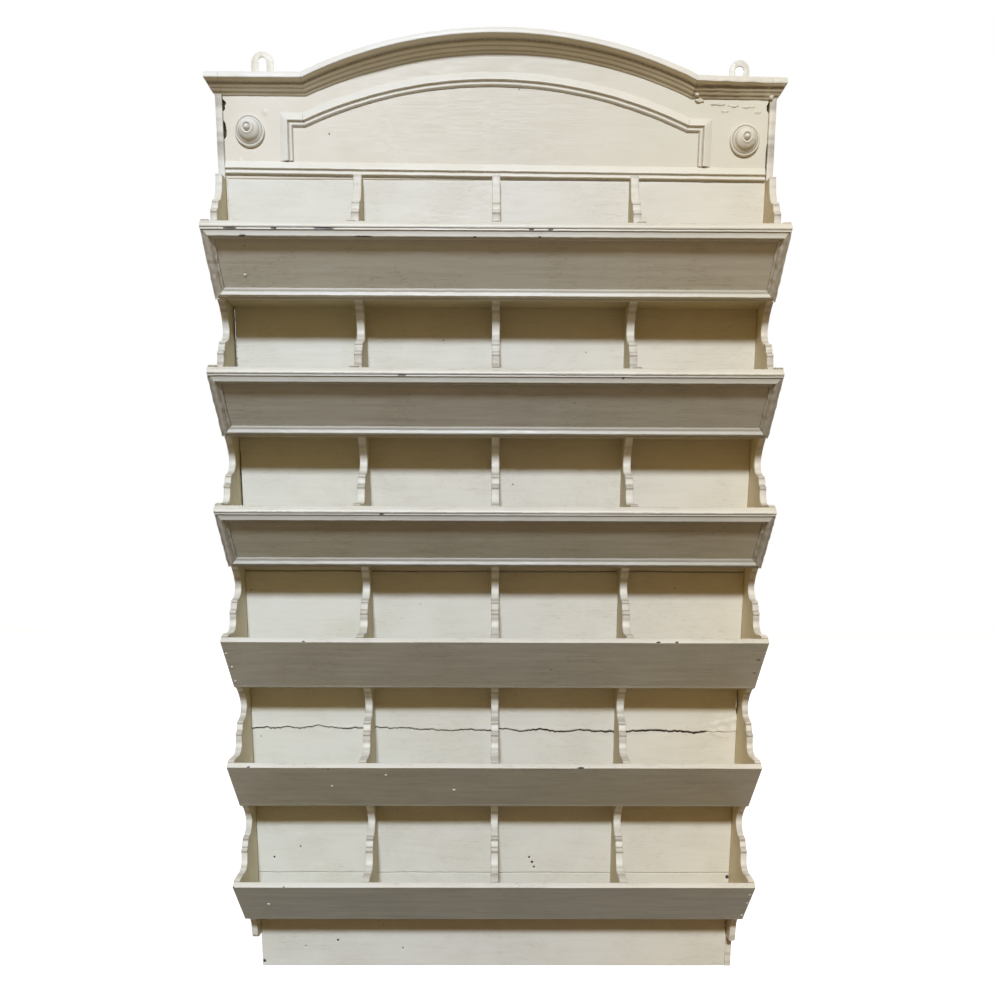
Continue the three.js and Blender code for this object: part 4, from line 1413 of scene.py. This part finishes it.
# %% Panel moulding
panel_angle = arch_of(PANEL["half_arch"], PANEL["rise"], PANEL["top"])[2]
for name, sign in (("left", -1), ("right", 1)):
    foot = frieze_station(sign * PANEL["half"], PANEL["leg"], -sign, 0)
    shoulder = frieze_station(sign * PANEL["half"], PANEL["top"], *mitre((-sign, 0), (0, -1)))
    spring = frieze_station(
        sign * (PANEL["half_arch"] + GAP / 2), PANEL["top"], *arch_mitre(sign, panel_angle))
    stations = between(foot, shoulder, 4.0) + between(shoulder, spring, 4.0)[1:]
    bead_points, bead_faces = carried(BEAD_SECTION, stations, 0.3, 16.0, sign)
    make_piece(f"panel_moulding_{name}", bead_points, bead_faces, moulding_paint,
               BEAD_HOLLOWS(BEAD_SECTION, bead_points), "painted_moulding")

arch_run = arch_stations(frieze_station, PANEL["half_arch"], PANEL["rise"], PANEL["top"], 140)
arch_points, arch_faces = carried(BEAD_SECTION, arch_run, 0.25, 22.0, 4.0)
make_piece("panel_moulding_arch", arch_points, arch_faces, moulding_paint,
           BEAD_HOLLOWS(BEAD_SECTION, arch_points), "painted_moulding")
print("panel moulding of", len(arch_run), "stations round the arch")

# %% Lower bead
bead_ends = [frieze_station(sign * LOWER_BEAD["length"] / 2, LOWER_BEAD["top"], 0, -1) for sign in (-1, 1)]
lower_bead = carried(LOWER_BEAD_SECTION, between(*bead_ends, 4.0), 0.3, 18.0, 6.0)


def corner_ridge(low, high):
    """A ragged ridge of paint that runs down from the bead's left end, in the corner with the side."""
    def station(height):
        size = (0.75 + 0.7 * jag(height, 9, 7.7)) * min(1.0, (height - low + 2) / 14)
        middle = -INNER + 2.2
        return lambda across, rise: (middle + across * size, FRIEZE["thickness"] - 0.3 + rise * size, height)
    turns = [math.radians(angle) for angle in range(0, 181, 30)]
    section = [(2.0 * math.cos(t), 1.9 * math.sin(t)) for t in turns]
    stations = [station(low + (high - low) * i / 36) for i in range(37)]
    return carried(section, stations, 0.35, 7.0, 3.0)


ridge = corner_ridge(1242, LOWER_BEAD["top"] - 14)
lower_marks = LOWER_HOLLOWS(LOWER_BEAD_SECTION, lower_bead[0])
ridge_marks = {"grime": [0.15] * len(ridge[0]), "yellowed": [0.3] * len(ridge[0])}
make_piece("frieze_bead", *together([lower_bead, ridge]), moulding_paint,
           {label: values + ridge_marks[label] for label, values in lower_marks.items()}, "painted_moulding")
print("lower bead and ridge:", len(lower_bead[0]), "and", len(ridge[0]), "points")

# %% [markdown]
# ## Cornice
#
# The cornice was planed with a broad fillet over a hollow and two small beads, all of which lie in the
# fillet's shadow. Five lengths of it meet in mitres: the arch, two straight runs and two short returns. On
# the right the coats of paint have clogged it, and filler stands in lumps at the joint.

# %% Section of the cornice
# Fall below the top, and distance out from the wall.
CORNICE_PROFILE = [(0, 38.4), (0.8, 39.5), (2.4, 40.4), (5.5, 40.9), (8.4, 41), (9.2, 39.4), (10.6, 37.4),
                   (11.6, 36), (12.4, 34), (13.4, 32.2), (14.8, 31), (16.2, 29.6), (17, 28), (18.6, 26.6),
                   (20, 24.9), (20.8, 23.3), (22, 21.9), (23.4, 20.6), (CORNICE["height"], 19.9)]
# Painted shade in the hollows under the fillet, tinted yellow.
CORNICE_HOLLOWS = hollows([(13.0, 2.1, 1.0), (17.4, 1.2, 0.6), (21.2, 1.2, 0.65), (24, 1.4, 0.35)], 0.5)
CORNICE_BACK = FRIEZE["thickness"] + GAP
SIDE_SHARE = CORNICE["side_out"] / (CORNICE["out"] - CORNICE_BACK)


def side_of(out):
    """How far from the middle the return's section is, where the front's section is so far out."""
    return HALF + (out - CORNICE_BACK) * SIDE_SHARE


def closed_section(profile, back):
    return [(0, back), *profile, (CORNICE["height"], back)]


eased_profile = painted_section(CORNICE_PROFILE, 0.5)
FRONT_SECTION = closed_section(eased_profile, CORNICE_BACK)
# Over a side, the cornice lies in front of the side's edge instead of the frieze.
SIDE_FRONT_SECTION = closed_section(eased_profile, FRIEZE["side_out"] + GAP)
RETURN_SECTION = closed_section([(fall, side_of(out)) for fall, out in eased_profile], HALF + GAP)
print("points in the cornice's section:", len(FRONT_SECTION))

# %% Stations of the cornice
# How far out the fillet stands along the front: furthest in the middle of the arch, least at the right.
STANDS_OUT = [(-460, 42.6), (-296, 42.6), (-180, 47.8), (20, 47.8), (190, 45), (300, 43), (340, 37.5),
              (460, 37.5)]
# Where it stands further out it is also this much lower for each millimetre, along one line of sight.
LOWER_PER_OUT = 0.448


def sag(x):
    """The right run has sunk a little towards its end."""
    return 2.6 * min(1.0, max(0.0, (x - 290) / 60)) + 0.8 * max(0.0, (x - 350) / 90)


def cornice_station(x, height, way_x, way_height):
    def station(fall, out):
        here = x + fall * way_x
        further = along(STANDS_OUT, here) - CORNICE["out"]
        share = max(0.0, (out - CORNICE_BACK) / (CORNICE["out"] - CORNICE_BACK))
        return here, out + share * further, height + fall * way_height - sag(here) - LOWER_PER_OUT * further
    return station


def clogged(strength, seed):
    """Paint fills a section's hollows here and there: its points draw towards the straight chord."""
    def clog(section, share):
        fill = strength * max(0.0, min(1.0, 0.55 + 1.3 * jag(share * 300, 22, seed)))
        outs = [out for _, out in section]
        made = []
        for i, (fall, out) in enumerate(section):
            near = outs[max(1, i - 3):i + 4] if 0 < i < len(section) - 1 else [out]
            made.append((fall, out + fill * (sum(near) / len(near) - out)))
        return made
    return clog


def crown_marks(section, points):
    """Painted shade, darker and yellower, under the fillet where its shadow falls, and none on the fillet's
    own face.
    """
    marks = CORNICE_HOLLOWS(section, points)
    shaded = [min(1.0, max(0.0, fall - 8.4)) for fall, _ in section] * (len(points) // len(section))
    return {label: [value * share for value, share in zip(values, shaded)] for label, values in marks.items()}


def arch_place(x, height, way_x, way_height):
    return cornice_station(x + CORNICE["arch_x"], height, way_x, way_height)


print("the right run's end has sunk", round(sag(HALF), 1), "mm")

# %% Cornice
cornice_angle = arch_of(CORNICE["half_arch"], CORNICE["arch_rise"], CORNICE["top"])[2]
cornice_run = arch_stations(arch_place, CORNICE["half_arch"], CORNICE["arch_rise"], CORNICE["top"], 200)
crown_points, crown_faces = carried(FRONT_SECTION, cornice_run, 0.28, 26.0, 1.0, clogged(0.25, 2.0))
make_piece("cornice_arch", crown_points, crown_faces, moulding_paint,
           crown_marks(FRONT_SECTION, crown_points))
for name, sign, strength, roughness in (("left", -1, 0.2, 0.25), ("right", 1, 0.7, 0.6)):
    def level_at(x):
        return cornice_station(x, CORNICE["top"], 0, -1)

    def corner(fall, out, sign=sign):
        return level_at(sign * side_of(out))(fall, out)

    def return_back(fall, side, sign=sign):
        return level_at(sign * side)(fall, 0.0)

    def return_front(fall, side, sign=sign):
        return level_at(sign * side)(fall, CORNICE_BACK + (side - HALF) / SIDE_SHARE - 2 * GAP)

    inner_x = CORNICE["arch_x"] + sign * (CORNICE["half_arch"] + GAP / 2)
    inner = cornice_station(inner_x, CORNICE["top"], *arch_mitre(sign, cornice_angle))
    over_frieze = between(inner, level_at(sign * (INNER - 2 * GAP)), 2.8)
    over_side = between(level_at(sign * (INNER - GAP)), corner, 2.8)
    run_points, run_faces = together([
        carried(FRONT_SECTION, over_frieze, roughness, 13.0, sign, clogged(strength, 3.0 + sign)),
        carried(SIDE_FRONT_SECTION, over_side, roughness, 13.0, sign, clogged(strength, 5.0))])
    run_marks = crown_marks(FRONT_SECTION, run_points)
    if sign > 0:
        # On the right the painted shade in the hollows is darker, and in patches.
        run_marks["grime"] = [min(1.0, grime * (1.3 + 0.8 * jag(point[0], 9, 1.7)) + 0.12 * (grime > 0))
                              for grime, point in zip(run_marks["grime"], run_points)]
    make_piece(f"cornice_{name}", run_points, run_faces, moulding_paint, run_marks)
    run_points, run_faces = carried(RETURN_SECTION, between(return_back, return_front, 3.0), 0.25, 20.0, sign,
                                    clogged(strength, 7.0))
    make_piece(f"cornice_return_{name}", run_points, run_faces, moulding_paint,
               crown_marks(RETURN_SECTION, run_points))
print("cornice: 5 pieces,", len(cornice_run), "stations round the arch")


# %% Lumps of filler
# Lumps of filler and run paint at the right: x, height, out, half width, half height, rise.
FILLER_LUMPS = [(307, 1438, 38, 3.6, 3, 2.6), (310, 1431, 31, 4.4, 3.4, 2.6), (306, 1424, 25, 3.8, 3.6, 2.6),
                (318, 1441, 38, 10, 1.6, 2), (311, 1416, 20, 7, 3, 2), (338, 1411.5, 19, 14, 2.4, 0.9),
                (364, 1409.5, 19, 9, 2, 0.8), (352, 1402, 19, 6, 1.6, 0.7), (387, 1408, 19, 11, 2, 0.8),
                (402, 1400, 19, 6, 1.8, 0.6), (417, 1428, 26, 5, 2.4, 2), (421, 1420, 23, 3.4, 4, 2),
                (380, 1431, 30, 10, 1.4, 1.2), (345, 1429, 29, 8, 1.2, 1.2), (399, 1433, 32, 5, 1.4, 1.2)]
# A lump's rings, as angles from its top to its underside.
LUMP_RINGS, LUMP_STEPS = (25, 50, 72, 90, 115, 150), 14


def round_about(steps):
    return [2 * math.pi * step / steps for step in range(steps)]


def domed(first, rings, last, steps):
    """A closed surface from a point over rings of points to another point."""
    end = len(rings) + 1
    start = end - steps
    faces = [[0, 1 + (s + 1) % steps, 1 + s] for s in range(steps)]
    faces += ring_faces(steps, len(rings) // steps, 1)
    faces += [[start + s, start + (s + 1) % steps, end] for s in range(steps)]
    return [first, *rings, last], faces


def lump(x, height, out, half_width, half_height, rise):
    """A low uneven dome."""
    rings = []
    for angle in LUMP_RINGS:
        wide, high = math.sin(math.radians(angle)), math.cos(math.radians(angle))
        ring = [(x + half_width * wide * math.cos(t), out + rise * high,
                 height + half_height * wide * math.sin(t)) for t in round_about(LUMP_STEPS)]
        rings += [uneven(point, min(half_width, half_height) * 0.55, 4.0, 8.0) for point in ring]
    return domed((x, out + rise, height), rings, (x, out - rise, height), LUMP_STEPS)


lump_points, lump_faces = together([lump(*place) for place in FILLER_LUMPS])
lump_marks = {"grime": [0.1] * len(lump_points), "yellowed": [0.2] * len(lump_points)}
make_piece("cornice_right", lump_points, lump_faces, moulding_paint, lump_marks, name="cornice_filler_lumps")
print("lumps:", len(FILLER_LUMPS))

# %% [markdown]
# ## Rosettes
#
# Each rosette was turned on a lathe, so its profile is spun round its own axis. The profile's points are
# joined by a smooth curve first, so that the turning is round at any distance.

# %% Rosettes
ROSETTES = {"left": (-379, 1369.5), "right": (383.5, 1360.5)}
ROSETTE_PROFILE = [(0, 0), (22.6, 0), (23, 2.2), (22.4, 3.8), (21, 4.6), (19.8, 3.8), (18.9, 4.6),
                   (17.4, 6.2), (16.4, 7.2), (15.6, 9), (14, 11.4), (12, 13.4), (10, 14.8), (8.6, 16.2),
                   (7.6, 16.8), (6.4, 16.2), (5.4, 14.8), (4.2, 15.2), (3.6, 17.6), (2.1, 19.4), (0, 20)]
TURNED_STEPS = 72
# How far each knob stands to the side of its disc's middle, at full height.
KNOB_OFFSETS = {"left": -2.4, "right": 0.4}


def smooth_line(points, steps=3):
    """A Catmull-Rom curve through the points."""
    made = []
    for i in range(len(points) - 1):
        a, b, c, d = (Vector(points[max(0, min(len(points) - 1, i + k))]) for k in (-1, 0, 1, 2))
        for step in range(steps):
            t = step / steps
            made.append(tuple(0.5 * (2 * b + (c - a) * t + (2 * a - 5 * b + 4 * c - d) * t * t
                                     + (3 * b - a - 3 * c + d) * t ** 3)))
    return made + [tuple(points[-1])]


def turned(profile, x, height, base_out, amount, seed):
    """A profile of (radius, rise) spun round an axis towards the viewer. It starts and ends on the axis."""
    rings = [uneven((x + radius * math.cos(angle), base_out + rise, height + radius * math.sin(angle)),
                    amount, 12.0, seed)
             for radius, rise in profile[1:-1] for angle in round_about(TURNED_STEPS)]
    first, last = ((x, base_out + end[1], height) for end in (profile[0], profile[-1]))
    return domed(first, rings, last, TURNED_STEPS)


def rosette_shade(point, x, height):
    """Painted shade in the grooves round the disc and round the knob's neck."""
    radius = math.hypot(point[0] - x, point[2] - height)
    grooves = [strength * (1 - abs(radius - middle) / 1.6)
               for middle, strength in ((19.6, 0.6), (15.6, 0.3))]
    round_knob = 0.8 * (1 - abs(point[1] - FRIEZE["thickness"] - 14.9) / 1.1) if radius < 9 else 0.0
    return max(0.0, round_knob, *grooves)


spun = ROSETTE_PROFILE[:2] + smooth_line(ROSETTE_PROFILE[1:])[1:]
for name, (x, height) in ROSETTES.items():
    rosette_points, rosette_faces = turned(spun, x, height, FRIEZE["thickness"] + GAP, 0.15, x)
    for point in rosette_points[1:-1]:
        point[0] += KNOB_OFFSETS[name] * (max(0.0, point[1] - 26) / 14) ** 1.2
    tip = rosette_points[-1]
    rosette_points[-1] = (tip[0] + KNOB_OFFSETS[name], *tip[1:])
    dirt = [rosette_shade(point, x, height) for point in rosette_points]
    make_piece(f"rosette_{name}", rosette_points, rosette_faces, moulding_paint, {"grime": dirt},
               "painted_moulding")
print("rosettes: 2, each", len(rosette_points), "points")

# %% [markdown]
# ## Hanging plates and screws
#
# Steel straps with a slot for the wall screw stand up behind the cornice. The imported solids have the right
# shape, so a copy of each is merged and its edges are bevelled, and then it takes its own finish.


# %% Plates and screws
def softened_copy(node, radius, material, slot):
    solid = bmesh.new()
    solid.from_mesh(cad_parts[node].data)
    bmesh.ops.remove_doubles(solid, verts=solid.verts, dist=1e-6)
    bmesh.ops.dissolve_limit(solid, angle_limit=math.radians(1), verts=solid.verts, edges=solid.edges)
    sharp = [edge for edge in solid.edges if len(edge.link_faces) == 2 and edge.calc_face_angle(0) > CREASE]
    bmesh.ops.bevel(solid, geom=sharp, offset=radius * MM, segments=2, profile=0.6, affect="EDGES")
    mesh = bpy.data.meshes.new(f"{node}_finished")
    solid.to_mesh(mesh)
    solid.free()
    mesh.shade_smooth()
    mesh.set_sharp_from_angle(angle=CREASE)
    mesh.materials.append(material)
    return declare(placed(mesh.name, mesh), slot, node)


for hand in ("left", "right"):
    softened_copy(f"hanging_plate_{hand}", 0.4, plate_paint, "painted_plate")
    for place in (1, 2):
        softened_copy(f"plate_screw_{hand}_{place}", 0.15, screw_steel, "screw_steel")
print("plates and screws: 6 pieces")

# %% [markdown]
# ## Nails
#
# The front boards are nailed to the sides and dividers. Most heads are lost under the paint, and a few show
# as small domes. Geometry Nodes put one head on every point of a list of places, each facing out of its
# board.


# %% Nails
def nail_tree():
    tree, made = group_tree("nail heads", [
        ("Head Radius", "Float"), ("Head Rise", "Float"), ("Paint", "Material")])
    follow(tree, made, [
        ("ratio", "divide", "Head Rise", "Head Radius"),
        ("flat", "vector", 1.0, 1.0, "ratio"),
    ])
    ball = add(tree, "GeometryNodeMeshUVSphere", {
        "Segments": 12, "Rings": 6, "Radius": made["Head Radius"]}, "Mesh")
    head = add(tree, "GeometryNodeTransform", {"Geometry": ball, "Scale": made["flat"]})
    facing = add(tree, "GeometryNodeInputNamedAttribute", {"Name": "facing"}, data_type="FLOAT_VECTOR")
    turn = add(tree, "FunctionNodeAlignRotationToVector", {"Vector": facing}, axis="Z")
    size = add(tree, "GeometryNodeInputNamedAttribute", {"Name": "size"}, data_type="FLOAT")
    heads = add(tree, "GeometryNodeInstanceOnPoints", {
        "Points": made["Geometry"], "Instance": head, "Rotation": turn, "Scale": size})
    end_tree(tree, heads, made["Paint"])
    return tree


# Row, x, distance below the top arris, size.
NAILS = [(1, -377.9, 73.9, 1.0), (4, -425.5, 26.3, 0.8), (4, -423.0, 57.1, 0.9), (4, -424.5, 90.1, 0.8),
         (5, -67.2, 59.6, 1.2), (5, -267.2, 49.1, 0.9), (5, -176.1, 19.0, 1.0), (6, -379.7, 54.2, 1.3),
         (6, 424.6, 22.0, 0.9), (6, 426.5, 49.5, 0.9), (6, 425.2, 90.7, 1.0)]
nail_mesh = bpy.data.meshes.new("nail_heads")
nail_places = [in_metres(*on_slope(row - 1, x, below, -GAP + 0.1)) for row, x, below, _ in NAILS]
nail_mesh.from_pydata(nail_places, [], [])
face_way = Vector((0, -math.cos(LEAN), -math.sin(LEAN)))
facing = nail_mesh.attributes.new("facing", "FLOAT_VECTOR", "POINT")
facing.data.foreach_set("vector", [*face_way] * len(NAILS))
nail_mesh.attributes.new("size", "FLOAT", "POINT").data.foreach_set("value", [size for *_, size in NAILS])
nails = grown("nail_heads", nail_tree(), {
    "Head Radius": 2.4 * MM, "Head Rise": 1.0 * MM, "Paint": moulding_paint}, nail_mesh)
set_plain(nails)
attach(nails, "root")
print("nails:", len(NAILS), "heads,", len(nails.data.vertices), "points")
